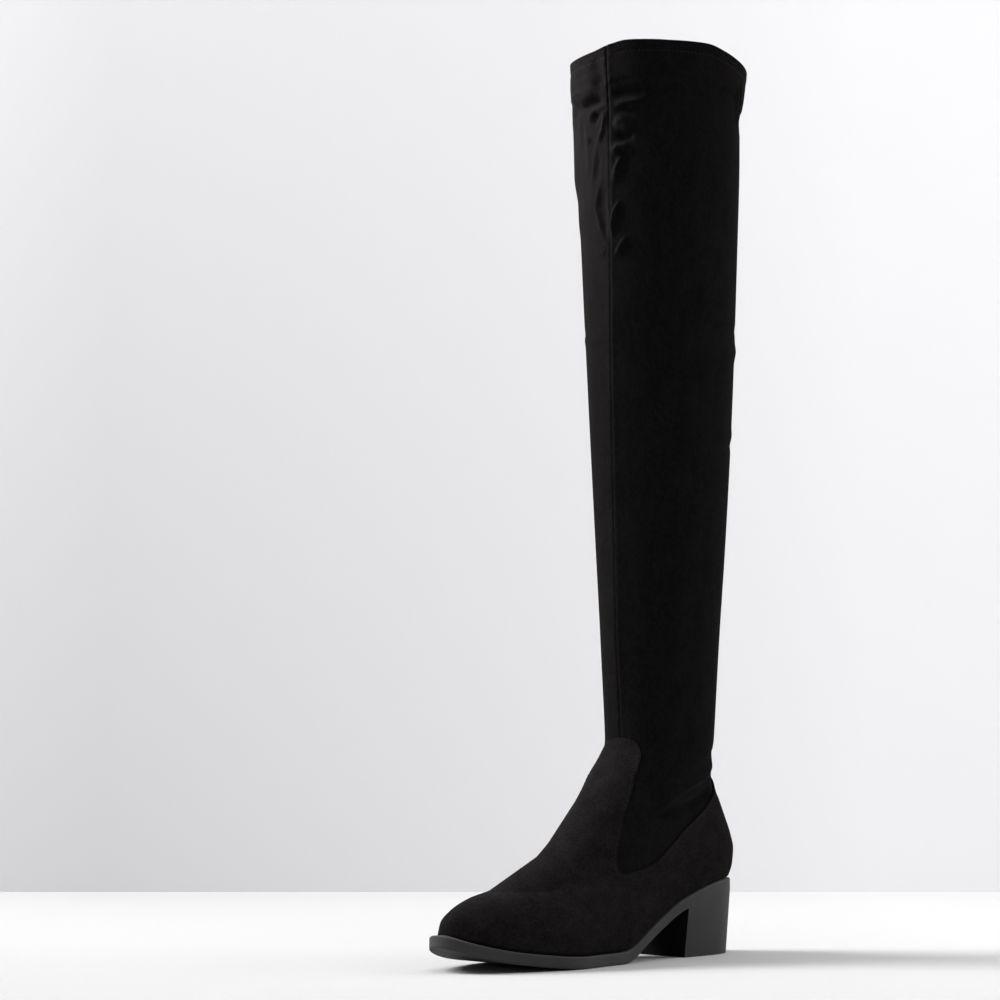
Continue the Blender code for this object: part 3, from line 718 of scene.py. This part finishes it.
def shaft_surface():
    """Outer surface of the upper, over the rim and down the turned-in facing.

    The rim is half a circle across the wall, and the facing lies one wall further in.
    """
    half = UPPER_WALL / 2
    top = float(ring_of_height(SHAFT_HEIGHT - half))
    outer = shaft_rows(SHAFT_HEIGHT - half)
    over = np.linspace(0, math.pi, 9)[1:-1]
    inner = ring_of_height(SHAFT_HEIGHT - FACING_ROWS * MM)
    rows = np.concatenate([outer, np.full(len(over), top), inner])
    inwards = np.concatenate([0 * outer, half * (1 - np.cos(over)), 0 * inner + UPPER_WALL])
    upwards = np.concatenate([0 * outer, half * np.sin(over), 0 * inner])

    skin_points, normal, out, s, h = leg_grid(rows)
    points = skin_points + normal * (out - inwards[:, None])[..., None]
    points[..., 2] += upwards[:, None]
    h = h + (2 * (inwards > half) * (SHAFT_HEIGHT / MM - h[:, 0]))[:, None]
    return points, cloth_map(s, h, rows)


print("columns round the shaft:", len(seam_columns()))

# %% [markdown]
# ## Materials
# Stretch suede is a knit whose face is brushed into a nap of very fine fibres. It
# takes almost no gloss, it looks lighter where light grazes it, and it shows soft
# patches where the nap lies another way. The sole is moulded in a black plastic with
# a satin gloss.


# %% Colours and node helper
def srgb(text):
    """Linear colour of a hex sRGB value."""
    part = np.array([int(text[i:i + 2], 16) for i in (1, 3, 5)]) / 255
    linear = np.where(part <= 0.04045, part / 12.92, ((part + 0.055) / 1.055) ** 2.4)
    return (*linear.tolist(), 1.0)


def new_material(name):
    """Empty node material with its shader."""
    material = bpy.data.materials.new(name)
    material.use_nodes = True
    return material, material.node_tree.nodes["Principled BSDF"]


def feed(material, target, **inputs):
    """Link a socket, or a node's first output, to an input of a node, or set its value.

    An input's name has its spaces written as _, and _0, _1 and so on are its number.
    """
    for key, value in inputs.items():
        number = key[1:]
        socket = target.inputs[int(number) if number.isdigit() else key.replace("_", " ")]
        if isinstance(value, bpy.types.Node):
            value = value.outputs[0]
        if isinstance(value, bpy.types.NodeSocket):
            material.node_tree.links.new(value, socket)
        else:
            socket.default_value = value


def node(material, kind, settings=None, stops=(), **inputs):
    """Add a node, set its properties and a ramp's stops, and feed its inputs.

    Each of the two stops is a place on the ramp and a grey or a colour.
    """
    new = material.node_tree.nodes.new(kind)
    for key, value in (settings or {}).items():
        setattr(new, key, value)
    for i, (place, colour) in enumerate(stops):
        new.color_ramp.elements[i].position = place
        new.color_ramp.elements[i].color = (
            colour if isinstance(colour, tuple) else (colour, colour, colour, 1))
    feed(material, new, **inputs)
    return new


# %% Suede
NAP_GRAIN = 0.5 * MM
NAP_SPECK = 1.6 * MM
NAP_CLOUD = 11.0 * MM
CLOUD_SHARE = 0.4       # of the tone, the rest follows the specks
SPECK_HEIGHT = 2.5      # times the grain's height


def suede(name, dark, light, sheen, stroke):
    """Brushed suede: dark fibres in clouds and specks, and a sheen where it is seen flat.

    stroke is how many times longer a cloud is up the cloth than across it. The height
    of the nap is the grain plus a little of the specks.
    """
    material, shader = new_material(name)
    place = node(material, "ShaderNodeTexCoord").outputs["Object"]
    along = node(material, "ShaderNodeMapping", Vector=place, Scale=(1, 1, 1 / stroke))
    cloud, speck = [node(material, "ShaderNodeTexNoise", Vector=along, Scale=1 / size,
                         Detail=3.0, Roughness=0.6) for size in (NAP_CLOUD, NAP_SPECK)]
    grain = node(material, "ShaderNodeTexNoise", Vector=place, Scale=1 / NAP_GRAIN)
    some = node(material, "ShaderNodeMath", {"operation": "MULTIPLY"},
                _0=cloud, _1=CLOUD_SHARE)
    mixed = node(material, "ShaderNodeMath", {"operation": "MULTIPLY_ADD"},
                 _0=speck, _1=1 - CLOUD_SHARE, _2=some)
    tone = node(material, "ShaderNodeValToRGB", Fac=mixed,
                stops=[(0.35, srgb(dark)), (0.65, srgb(light))])
    height = node(material, "ShaderNodeMath", {"operation": "MULTIPLY_ADD"},
                  _0=speck, _1=SPECK_HEIGHT, _2=grain)
    nap = node(material, "ShaderNodeBump", Height=height, Distance=0.10 * MM, Strength=0.8)
    feed(material, shader, Base_Color=tone, Normal=nap, Roughness=0.95,
         Specular_IOR_Level=0.0, Sheen_Weight=sheen, Sheen_Roughness=0.35,
         Sheen_Tint=srgb("#8d8988"))
    return material


shaft_suede = suede("stretch suede, brushed knit", "#0f0e0e", "#171616", 0.09, 2.0)
vamp_suede = suede("suede, brushed split", "#121111", "#201e1e", 0.09, 1.0)


# %% Sole, lining and thread
SOLE_CLOUD = 14 * MM
SOLE_PEEL = 1.1 * MM
SOLE_GLOSS = 0.30
RIB_PITCH = 0.9 * MM
KNIT_CLOUD = 18 * MM
THREAD_PLY = 0.4 * MM


def moulded_plastic():
    """Black TPU: satin from a polished mould, matt on the heel's base, breast and shank.

    The faces' own number matt is 1 there. It takes the gloss away, and it darkens the
    colour as painted shade, for these faces lie in shade under the sole and in the breast.
    """
    material, shader = new_material("moulded TPU, satin")
    place = node(material, "ShaderNodeTexCoord").outputs["Object"]
    cloud = node(material, "ShaderNodeTexNoise", Vector=place, Scale=1 / SOLE_CLOUD,
                 Detail=4.0, Roughness=0.6)
    peel = node(material, "ShaderNodeTexNoise", Vector=place, Scale=1 / SOLE_PEEL)
    matt = node(material, "ShaderNodeAttribute", {"attribute_name": "matt"}).outputs["Fac"]
    # painted shade: the matt faces under the sole and in the breast get the darker colour
    colour = node(material, "ShaderNodeValToRGB", Fac=matt,
                  stops=[(0.0, srgb("#323131")), (1.0, srgb("#161515"))])
    gloss = node(material, "ShaderNodeMath", {"operation": "MULTIPLY_ADD"},
                 _0=matt, _1=-SOLE_GLOSS, _2=SOLE_GLOSS)
    rough = node(material, "ShaderNodeValToRGB", Fac=cloud, stops=[(0.3, 0.70), (0.7, 0.80)])
    uneven = node(material, "ShaderNodeBump", Height=peel, Distance=0.03 * MM, Strength=0.4)
    feed(material, shader, Base_Color=colour, Specular_IOR_Level=gloss, Roughness=rough,
         Normal=uneven)
    return material


def knit_lining(name, dark, light):
    """Tricot: fine ribs RIB_PITCH apart on a matt black knit."""
    material, shader = new_material(name)
    place = node(material, "ShaderNodeTexCoord")
    ribs = node(material, "ShaderNodeTexWave", {"bands_direction": "X"},
                Vector=place.outputs["UV"], Scale=1 / RIB_PITCH / (2 * math.pi),
                Distortion=0.4, Detail=1.0)
    cloud = node(material, "ShaderNodeTexNoise", Vector=place.outputs["Object"],
                 Scale=1 / KNIT_CLOUD, Detail=3.0)
    tone = node(material, "ShaderNodeValToRGB", Fac=cloud,
                stops=[(0.3, srgb(dark)), (0.7, srgb(light))])
    relief = node(material, "ShaderNodeBump", Height=ribs.outputs["Fac"],
                  Distance=0.15 * MM, Strength=0.5)
    feed(material, shader, Base_Color=tone, Normal=relief, Roughness=0.85,
         Specular_IOR_Level=0.2)
    return material


def thread(name, dark, light):
    """Polyester sewing thread, black and nearly matt, with its twist as a fine bump."""
    material, shader = new_material(name)
    place = node(material, "ShaderNodeTexCoord").outputs["Object"]
    ply = node(material, "ShaderNodeTexNoise", Vector=place, Scale=1 / THREAD_PLY)
    twist = node(material, "ShaderNodeBump", Height=ply, Distance=0.05 * MM, Strength=0.6)
    tone = node(material, "ShaderNodeValToRGB", Fac=ply,
                stops=[(0.3, srgb(dark)), (0.7, srgb(light))])
    feed(material, shader, Base_Color=tone, Normal=twist, Roughness=0.7,
         Specular_IOR_Level=0.15)
    return material


sole_plastic = moulded_plastic()
shaft_lining = knit_lining("tricot lining, knitted", "#121110", "#1c1a19")
insole_cover = knit_lining("insole cover, knitted", "#161413", "#221f1e")
hem_thread = thread("polyester thread of the hem, twisted", "#1c1b1b", "#272626")
vamp_thread = thread("polyester thread of the vamp, twisted", "#100f0f", "#181717")
print("materials:", [m.name for m in bpy.data.materials])

# %% [markdown]
# ## The shaft's suede
# On the real boot the shaft is cut flat, sewn and turned. Here the grid worked out
# above becomes one mesh, which stands in for the frame's plain upper.

# %% Build the shaft
points, cloth = shaft_surface()
add_piece("upper_suede", grid_mesh("upper_suede", points, cloth), shaft_suede,
          ["upper"])

# %% [markdown]
# ## Lining and insole
# The shaft is lined with tricot, laid just inside the wall with the same folds. Its
# upper end covers the facing's edge. The insole keeps its shape from the frame and
# gets its cover here.


# %% Build the lining
LINING_TOP = 19.5 * MM  # under the rim
LINING_GAP = 0.3 * MM   # inside the facing
LINING_FINE_STEP = 1.5 * MM
LINING_STEP = 4 * MM


def lining_surface():
    """Inner side of the wall from the facing down to the insole, with all its folds."""
    heights = np.concatenate([
        np.arange(SHAFT_HEIGHT - LINING_TOP, FINE_FROM, -LINING_FINE_STEP),
        np.arange(FINE_FROM, ANKLE_HEIGHT, -LINING_STEP),
    ])
    rows = np.concatenate([ring_of_height(heights), np.linspace(ANKLE_RING, 0.1, 60)])
    skin_points, normal, out, s, h = leg_grid(rows)
    points = skin_points + normal * (out - UPPER_WALL - LINING_GAP)[..., None]
    return points, cloth_map(s, h, rows)


points, cloth = lining_surface()
add_piece("shaft_lining", grid_mesh("shaft_lining", points, cloth), shaft_lining)
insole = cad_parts["insole"]
insole.data.materials.clear()
insole.data.materials.append(insole_cover)
insole.data.shade_smooth()

# %% [markdown]
# ## Vamp and counter
# One layer of suede lies round the foot. Its edge climbs the instep to the tongue,
# dips at the waist and rises again to a point behind. It follows the same folds as
# the upper below it, and its cut edge is rounded over.


# %% Vamp surface
EDGE_CROWDING = 0.55    # how much closer the columns lie where the edge is steep
VAMP_COLUMNS = 216      # on each side
RING_STEP = 0.02        # short way up the foot, which gives the edge its direction


def vamp_edge(turn):
    """Ring number of the vamp's edge at a turn from the heel's back."""
    from_back = np.degrees(np.minimum(turn, 2 * math.pi - turn))
    return curve(from_back, VAMP_EDGE["turn"], VAMP_EDGE["ring"])


def vamp_turns():
    """Columns round the foot, closer where the edge climbs beside the tongue."""
    fine = np.linspace(0, math.pi, 2000)
    slope = np.abs(np.gradient(vamp_edge(fine), fine))
    count = np.cumsum(1 + EDGE_CROWDING * slope)
    count = (count - count[0]) / (count[-1] - count[0])
    half = np.interp(np.linspace(0, 1, VAMP_COLUMNS), count, fine)
    return np.concatenate([half, 2 * math.pi - half[-2:0:-1]])


def on_vamp(turn, v, out):
    """Point of the vamp layer, out above the upper's own relief, with cloth measures."""
    relief, s, h = leg_relief(turn, v)
    bare = relief - seam_relief(s, h) * seam_share(v) * over_foot(v)
    u = seam_turn(turn, v)
    return skin(u, v) + skin_normal(u, v) * (bare + out)[..., None], s, h


def vamp_surface():
    """Outer side from the sole up to the edge, round the edge, and back down inside.

    The edge is half a circle across the layer, a little above the upper so that the
    step shows, as a pressed edge does.
    """
    turns = vamp_turns()
    up = 1 - (1 - np.linspace(0, 1, 112)) ** 1.25
    over = np.linspace(0, math.pi, 7)[1:-1]
    down = np.array([1.0, 0.97, 0.9, 0.7, 0.45, 0.2, 0.0])
    share = np.concatenate([up, 1 + 0 * over, down])
    half = VAMP_WALL / 2
    out = np.concatenate([0 * up + VAMP_WALL, half * (1 + np.cos(over)), 0 * down]) + GAP
    past = np.concatenate([0 * up, half * np.sin(over), 0 * down])
    edge = vamp_edge(turns)
    v = share[:, None] * edge[None, :]
    turn = np.broadcast_to(turns, v.shape)
    lift = EDGE_LIFT * ease((share - 0.9) / 0.1)
    points, s, h = on_vamp(turn, v, (out + lift)[:, None])
    beyond, _, _ = on_vamp(turn, v + RING_STEP, (out + lift)[:, None])
    way = beyond - points
    way /= np.linalg.norm(way, axis=-1, keepdims=True)
    points = points + way * past[:, None, None]
    return points, cloth_map(s, h, v[:, 0])


points, cloth = vamp_surface()
# the first row is repeated as the last one, which closes the layer under the foot
points = np.concatenate([points, points[:1]])
cloth = np.concatenate([cloth, cloth[:1]])
add_piece("vamp_suede", grid_mesh("vamp_suede", points, cloth), vamp_suede,
          ["vamp"])

# %% [markdown]
# ## Stitches
# A stitch is a short length of thread pulled into the suede at both ends. All of a
# row's stitches are one mesh: the same small rounded bar, turned and placed by arrays.


# %% Stitch rows
STITCH_WIDTH = 0.42 * MM
STITCH_HEIGHT = 0.36 * MM
STITCH_PITCH = 2.8 * MM
STITCH_SHARE = 0.5
STITCH_SIDES = 6
STITCH_RINGS = 5
HEM_STITCH_SUNK = 0.03 * MM
VAMP_STITCH_IN = 1.7 * MM


def stitch_bar():
    """Points of a unit bar along x with round ends, and its quads."""
    along = np.linspace(-1, 1, STITCH_RINGS)
    size = np.sqrt(np.clip(1 - (np.abs(along) * 0.93) ** 4, 0, 1))
    turn = np.arange(STITCH_SIDES) * 2 * math.pi / STITCH_SIDES
    across = size[:, None] * np.cos(turn)
    upright = size[:, None] * np.sin(turn)
    x = np.broadcast_to(along[:, None] * 0.5, across.shape)
    points = np.stack([x, across * 0.5, upright * 0.5], -1).reshape(-1, 3)
    return points, grid_quads(STITCH_RINGS, STITCH_SIDES, True)


def stitch_row(name, path, normal):
    """Stitches along a closed path of points, STITCH_PITCH apart."""
    closed = np.concatenate([path, path[:1]])
    reach = np.concatenate([[0], np.cumsum(np.linalg.norm(np.diff(closed, axis=0), axis=1))])
    count = int(reach[-1] / STITCH_PITCH)
    middle = (np.arange(count) + 0.5) * reach[-1] / count
    half = reach[-1] / count * STITCH_SHARE / 2

    def at(distance, values):
        wrapped = distance % reach[-1]
        ends = np.concatenate([values, values[:1]])
        return np.stack([np.interp(wrapped, reach, ends[:, i]) for i in range(3)], -1)

    first, last = at(middle - half, path), at(middle + half, path)
    along = last - first
    up = at(middle, normal)
    side = np.cross(up, along)
    side /= np.linalg.norm(side, axis=1, keepdims=True)
    up = np.cross(along, side)
    up /= np.linalg.norm(up, axis=1, keepdims=True)
    bar, quads = stitch_bar()
    points = (at(middle, path)[:, None] + bar[None, :, :1] * along[:, None]
              + bar[None, :, 1:2] * side[:, None] * STITCH_WIDTH
              + bar[None, :, 2:] * up[:, None] * STITCH_HEIGHT)
    faces = (quads[None] + np.arange(count)[:, None, None] * len(bar)).reshape(-1, 4)
    mesh = bpy.data.meshes.new(name)
    mesh.from_pydata(points.reshape(-1, 3), [], faces)
    print(name, count, "stitches")
    return mesh


def hem_path():
    """Path of the hem's stitches, STITCH_LINE under the rim and sunk into the cloth."""
    turn = np.linspace(0, 2 * math.pi, 721)[:-1]
    levels = np.linspace(COLLAR_RING - 1.5, COLLAR_RING, 40)
    heights = np.stack([cloth_at(turn, np.full(turn.shape, level))[1] for level in levels])
    v = np.array([np.interp(column[-1] - STITCH_LINE, column, levels) for column in heights.T])
    out, _, _ = leg_relief(turn, v)
    u = seam_turn(turn, v)
    normal = skin_normal(u, v)
    return draped(u, v) + normal * (out - HEM_STITCH_SUNK)[:, None], normal


def vamp_path():
    """Path of the vamp's edge stitches, VAMP_STITCH_IN from its edge."""
    turn = vamp_turns()
    edge = vamp_edge(turn)
    on_edge, _, _ = on_vamp(turn, edge, GAP + VAMP_WALL + 0.75 * EDGE_LIFT)
    tangent = np.roll(on_edge, -1, axis=0) - np.roll(on_edge, 1, axis=0)
    normal = skin_normal(seam_turn(turn, edge), edge)
    inwards = np.cross(tangent, normal)
    inwards /= -np.sign(inwards[:, 2].mean()) * np.linalg.norm(inwards, axis=1, keepdims=True)
    return on_edge + inwards * VAMP_STITCH_IN, normal


path, normal = hem_path()
add_piece("hem_stitches", stitch_row("hem_stitches", path, normal), hem_thread)
path, normal = vamp_path()
add_piece("vamp_stitches", stitch_row("vamp_stitches", path, normal), vamp_thread)

# %% [markdown]
# ## Sole and heel
# The unit sole comes out of its mould in one piece: an edge band with rounded edges,
# an arched shank, a flat forefoot and a block heel. The side is a grid whose rows run
# down the band and, in the heel, on to the floor. Strips across close top and bottom.

# %% Sole sizes
SOLE_COLUMNS = 240
LIP_ROUND = 0.9 * MM
HEEL_ROUND = 0.7 * MM
HEEL_BREAST = HEEL_SET_IN + HEEL_DEPTH
# painted shade: the matt underside behind SHANK_END is also darker in colour
SHANK_END = 0.55        # share of SOLE_LENGTH up to which the underside is matt
HEEL_SHARES = (0.8, 0.6, 0.4, 0.2, 0.07, 0.0)
BREAST_REACH = 4 * MM   # in front of the breast the lower edge becomes round over this
FLAT_WITHIN = 5e-5      # heights this near the floor are set to it


def sole_turns():
    """Angles of the sole's columns, with one at the heel's breast."""
    even = np.linspace(0, math.pi, SOLE_COLUMNS // 2 + 1)
    half = even + 0.15 * np.sin(2 * even)
    share = (HEEL_BREAST - RINGS["back"][0]) / (RINGS["front"][0] - RINGS["back"][0])
    breast = int(np.argmin(np.abs(half - math.acos(1 - 2 * share))))
    half[breast] = math.acos(1 - 2 * share)
    return half, breast


def feather_outline(u, out):
    """Lowest ring of the upper from above, moved outwards in plan."""
    zero = np.zeros_like(u)
    along = (skin(u + SLOPE_STEP, zero) - skin(u - SLOPE_STEP, zero))[:, :2]
    along /= np.linalg.norm(along, axis=1, keepdims=True)
    normal = np.stack([-along[:, 1], along[:, 0]], -1)
    return skin(u, zero)[:, :2] + normal * np.asarray(out)[..., None]


def sole_plan(u):
    """The sole's edge in plan and unit vectors from it towards the upper."""
    a = (1 - np.cos(u)) / 2
    edge = feather_outline(u, LIP_SIDE + (LIP_TOE - LIP_SIDE) * ease((a - 0.75) / 0.25))
    inward = feather_outline(u, np.zeros_like(u)) - edge
    return edge, inward / np.linalg.norm(inward, axis=1, keepdims=True)


def band_profile():
    """Rows of the band from its top face round the lip and down to the underside.

    Each row has its inset, its way down from the top edge, and a tuck that only the
    foot has, where the lower edge is rounded too.
    """
    quarter = np.linspace(0, math.pi / 2, 6)
    face = [(9 * MM, 0.0, 0.0), (4 * MM, 0.0, 0.0)]
    lip = [(LIP_ROUND * (1 - math.sin(t)), LIP_ROUND * (1 - math.cos(t)), 0.0) for t in quarter]
    side = [(0.0, down, 0.0) for down in np.linspace(LIP_ROUND, SOLE_BAND - LIP_ROUND, 5)[1:-1]]
    under = [(0.0, SOLE_BAND - LIP_ROUND * (1 - math.sin(t)), LIP_ROUND * (1 - math.cos(t)))
             for t in quarter]
    return face + lip + side + under


def strips_across(row, first, last, count):
    """Quads, or a triangle at an end, from the outer to the inner side of a row."""
    faces = []
    for c in range(first, last):
        corners = [row + c, row + c + 1, row + count - c - 1, row + (count - c) % count]
        faces.append(list(dict.fromkeys(corners)))
    return faces


def heel_base(edge, station, breast):
    """Place of each column on the heel's flat base, tapered from the band in plan."""
    seat_half = np.interp(station[breast], station[:breast + 2], edge[:breast + 2, 0])
    narrower = HEEL_WIDTH / 2 / seat_half
    shorter = (station[breast] - HEEL_SET_IN) / (station[breast] - station.min())
    run = ORIGIN_STATION - station[breast] + (station[breast] - station) * shorter
    return np.stack([edge[:, 0] * narrower, run], -1)


def heel_block(start, base, above, first):
    """Rings of the heel from the band down to its base, with faces and matt numbers.

    start and base are the columns' places on the band and the floor, above the numbers
    of the band's points and first the number of the first new one. Only the breast,
    which joins the last column to the first, and the base are matt, and darkened as
    painted shade.
    """
    size = len(start)
    rings, faces, matt = [], [], []
    for i, share in enumerate(HEEL_SHARES):
        plan = start[:, :2] * share + base * (1 - share)
        rings.append(np.column_stack([plan, start[:, 2] * share]))
        below = first + i * size + np.arange(size)
        faces += np.stack([above[:-1], below[:-1], below[1:], above[1:]], -1).tolist()
        faces.append([int(above[-1]), int(below[-1]), int(below[0]), int(above[0])])
        matt += [0] * (size - 1) + [1]
        above = below
    for c in range(size // 2):
        corners = [above[c], above[size - 1 - c], above[size - 2 - c], above[c + 1]]
        faces.append([int(number) for number in dict.fromkeys(corners)])
    return rings, faces, matt + [1] * (size // 2)


def sole_mesh():
    """Points, faces and each face's matt number, column by column round the foot."""
    half, breast = sole_turns()
    u = np.concatenate([half, 2 * math.pi - half[-2:0:-1]])
    count = len(u)
    edge, inward = sole_plan(u)
    station = ORIGIN_STATION - edge[:, 1]
    foot = ease((station - station[breast]) / BREAST_REACH)
    rows = []
    for inset, down, tuck in band_profile():
        plan = edge + inward * (inset + tuck * foot)[:, None]
        rows.append(np.column_stack([plan, sole_top(station) - down]))
    rows[-1][:, 2] = np.where(np.abs(rows[-1][:, 2]) < FLAT_WITHIN, 0.0, rows[-1][:, 2])
    last_row = (len(rows) - 1) * count
    faces = grid_quads(len(rows), count, True)[:, ::-1].tolist()
    faces += strips_across(0, 0, len(half) - 1, count)
    matt = [0] * len(faces)
    underside = strips_across(last_row, breast, len(half) - 1, count)
    faces += [corners[::-1] for corners in underside]
    matt += [int(station[breast + i] < SHANK_END * SOLE_LENGTH)
             for i in range(len(underside))]

    order = np.concatenate([np.arange(count - breast, count), np.arange(0, breast + 1)])
    base = heel_base(edge, station, breast)
    rings, heel_faces, heel_matt_and_shade = heel_block(rows[-1][order], base[order],
                                              last_row + order, len(rows) * count)
    return np.concatenate(rows + rings), faces + heel_faces, matt + heel_matt_and_shade


def build_sole():
    """The sole with its hard edges bevelled as the mould leaves them."""
    points, faces, matt = sole_mesh()
    mesh = bpy.data.meshes.new("unit_sole")
    mesh.from_pydata(points, [], faces)
    # matt is 1 on faces that are matt and darkened as painted shade
    mesh.attributes.new("matt", "FLOAT", "FACE").data.foreach_set("value", matt)
    bm = bmesh.new()
    bm.from_mesh(mesh)
    bmesh.ops.recalc_face_normals(bm, faces=bm.faces)
    bm.to_mesh(mesh)
    bm.free()
    obj = add_piece("unit_sole", mesh, sole_plastic, ["outsole"])
    bevel = obj.modifiers.new("mould edges", "BEVEL")
    bevel.width = HEEL_ROUND
    bevel.segments = 3
    bevel.limit_method = "ANGLE"
    bevel.angle_limit = math.radians(50)
    bevel.harden_normals = True


build_sole()

# %% [markdown]
# ## Studio
# A pale floor and wall with soft light. The key lamp stands high on the left and a
# little behind the boot, so that it grazes the suede and draws out its folds. A
# small lamp lights the folds under the collar alone, a large one hangs overhead, a
# weaker one stands on the right, and a dim white room fills the shadows.

# %% Places of the camera and the wall
CAMERA_TURN = math.radians(46.524)
CAMERA_AWAY = 1.79955
CAMERA_ASIDE = -0.12594
CAMERA_HEIGHT = 0.14507
CAMERA_PITCH = math.radians(5.0972)
CAMERA_LENS = 95.33
WALL_AWAY = 0.70
STAGE_REACH = 4
FLOOR_REACH = 6
# painted shade on floor and wall runs across the view between these two places
SHADE_RUN_LEFT = -0.50
SHADE_RUN_RIGHT = 0.22
towards = Vector((math.sin(CAMERA_TURN), -math.cos(CAMERA_TURN), 0))
rightwards = Vector((math.cos(CAMERA_TURN), math.sin(CAMERA_TURN), 0))
up = Vector((0, 0, 1))
print("towards the camera:", tuple(towards))


# %% Floor and wall
def paper_with_painted_shade(name, left, right):
    """Matt backdrop paper with painted shade, dark on the left and light on the right.

    tone = share of the way from SHADE_RUN_LEFT to SHADE_RUN_RIGHT, measured across the view.
    The paper is seen from its front alone, so it hides nothing from behind or below.
    """
    material, shader = new_material(name)
    place = node(material, "ShaderNodeTexCoord")
    across = node(material, "ShaderNodeVectorMath", {"operation": "DOT_PRODUCT"},
                  _0=place.outputs["Object"], _1=tuple(rightwards))
    share = node(material, "ShaderNodeMapRange", Value=across.outputs["Value"],
                 From_Min=SHADE_RUN_LEFT, From_Max=SHADE_RUN_RIGHT)
    tone = node(material, "ShaderNodeValToRGB", Fac=share,
                stops=[(0.0, srgb(left)), (1.0, srgb(right))])
    feed(material, shader, Base_Color=tone, Roughness=1.0, Specular_IOR_Level=0.0)
    back = node(material, "ShaderNodeNewGeometry").outputs["Backfacing"]
    clear = node(material, "ShaderNodeBsdfTransparent")
    either = node(material, "ShaderNodeMixShader", _0=back, _1=shader, _2=clear)
    output = next(n for n in material.node_tree.nodes if n.type == "OUTPUT_MATERIAL")
    feed(material, output, Surface=either)
    return material


def flat_stage(name, corners, material):
    """One flat face that isn't part of the boot."""
    mesh = bpy.data.meshes.new(name)
    mesh.from_pydata([tuple(c) for c in corners], [], [(0, 1, 2, 3)])
    obj = bpy.data.objects.new(name, mesh)
    bpy.context.scene.collection.objects.link(obj)
    mesh.materials.append(material)


left_corner = -towards * WALL_AWAY - rightwards * STAGE_REACH
right_corner = -towards * WALL_AWAY + rightwards * STAGE_REACH
front = towards * FLOOR_REACH
# painted shade: both papers are darker on the left and lighter on the right
flat_stage("floor", [left_corner, left_corner + front, right_corner + front, right_corner],
           paper_with_painted_shade("matt floor paper with painted shade", "#adadad", "#c2c2c2"))
flat_stage("wall", [left_corner, right_corner, right_corner + up * STAGE_REACH,
                    left_corner + up * STAGE_REACH],
           paper_with_painted_shade("matt wall paper with painted shade", "#c9c8ca", "#ecebed"))


# %% Lights and camera
def area_light(name, place, aim, size, power, spread=180):
    """Square soft lamp at a place, turned to an aim, whose light opens by spread degrees."""
    data = bpy.data.lights.new(name, "AREA")
    data.size = size
    data.energy = power
    data.spread = math.radians(spread)
    obj = bpy.data.objects.new(name, data)
    obj.location = place
    obj.rotation_euler = (Vector(aim) - Vector(place)).to_track_quat("-Z", "Y").to_euler()
    bpy.context.scene.collection.objects.link(obj)


area_light("key", rightwards * -1.84 - towards * 0.38 + up * 1.50, up * 0.30, 1.2, 115)
area_light("collar", rightwards * -0.64 - towards * 0.08 + up * 0.86, up * 0.60, 0.25, 0.75, 30)
area_light("top", up * 2.3 + towards * 0.4, up * 0.3, 1.6, 19)
area_light("side", rightwards * 1.25 - towards * 0.35 + up * 0.8,
           up * 0.3 - towards * 0.1, 1.0, 13)
print("lamps:", [lamp.name for lamp in bpy.data.lights])
world = bpy.data.worlds.new("white room")
world.use_nodes = True
world.node_tree.nodes["Background"].inputs["Color"].default_value = srgb("#ffffff")
world.node_tree.nodes["Background"].inputs["Strength"].default_value = 0.30
bpy.context.scene.world = world

camera = bpy.data.objects.new("camera", bpy.data.cameras.new("camera"))
camera.data.lens = CAMERA_LENS
camera.data.sensor_width = 36
camera.location = towards * CAMERA_AWAY + rightwards * CAMERA_ASIDE + up * CAMERA_HEIGHT
ahead = -towards * math.cos(CAMERA_PITCH) + up * math.sin(CAMERA_PITCH)
camera.rotation_euler = ahead.to_track_quat("-Z", "Y").to_euler()
bpy.context.scene.collection.objects.link(camera)
bpy.context.scene.camera = camera
bpy.context.scene.view_settings.view_transform = "Standard"
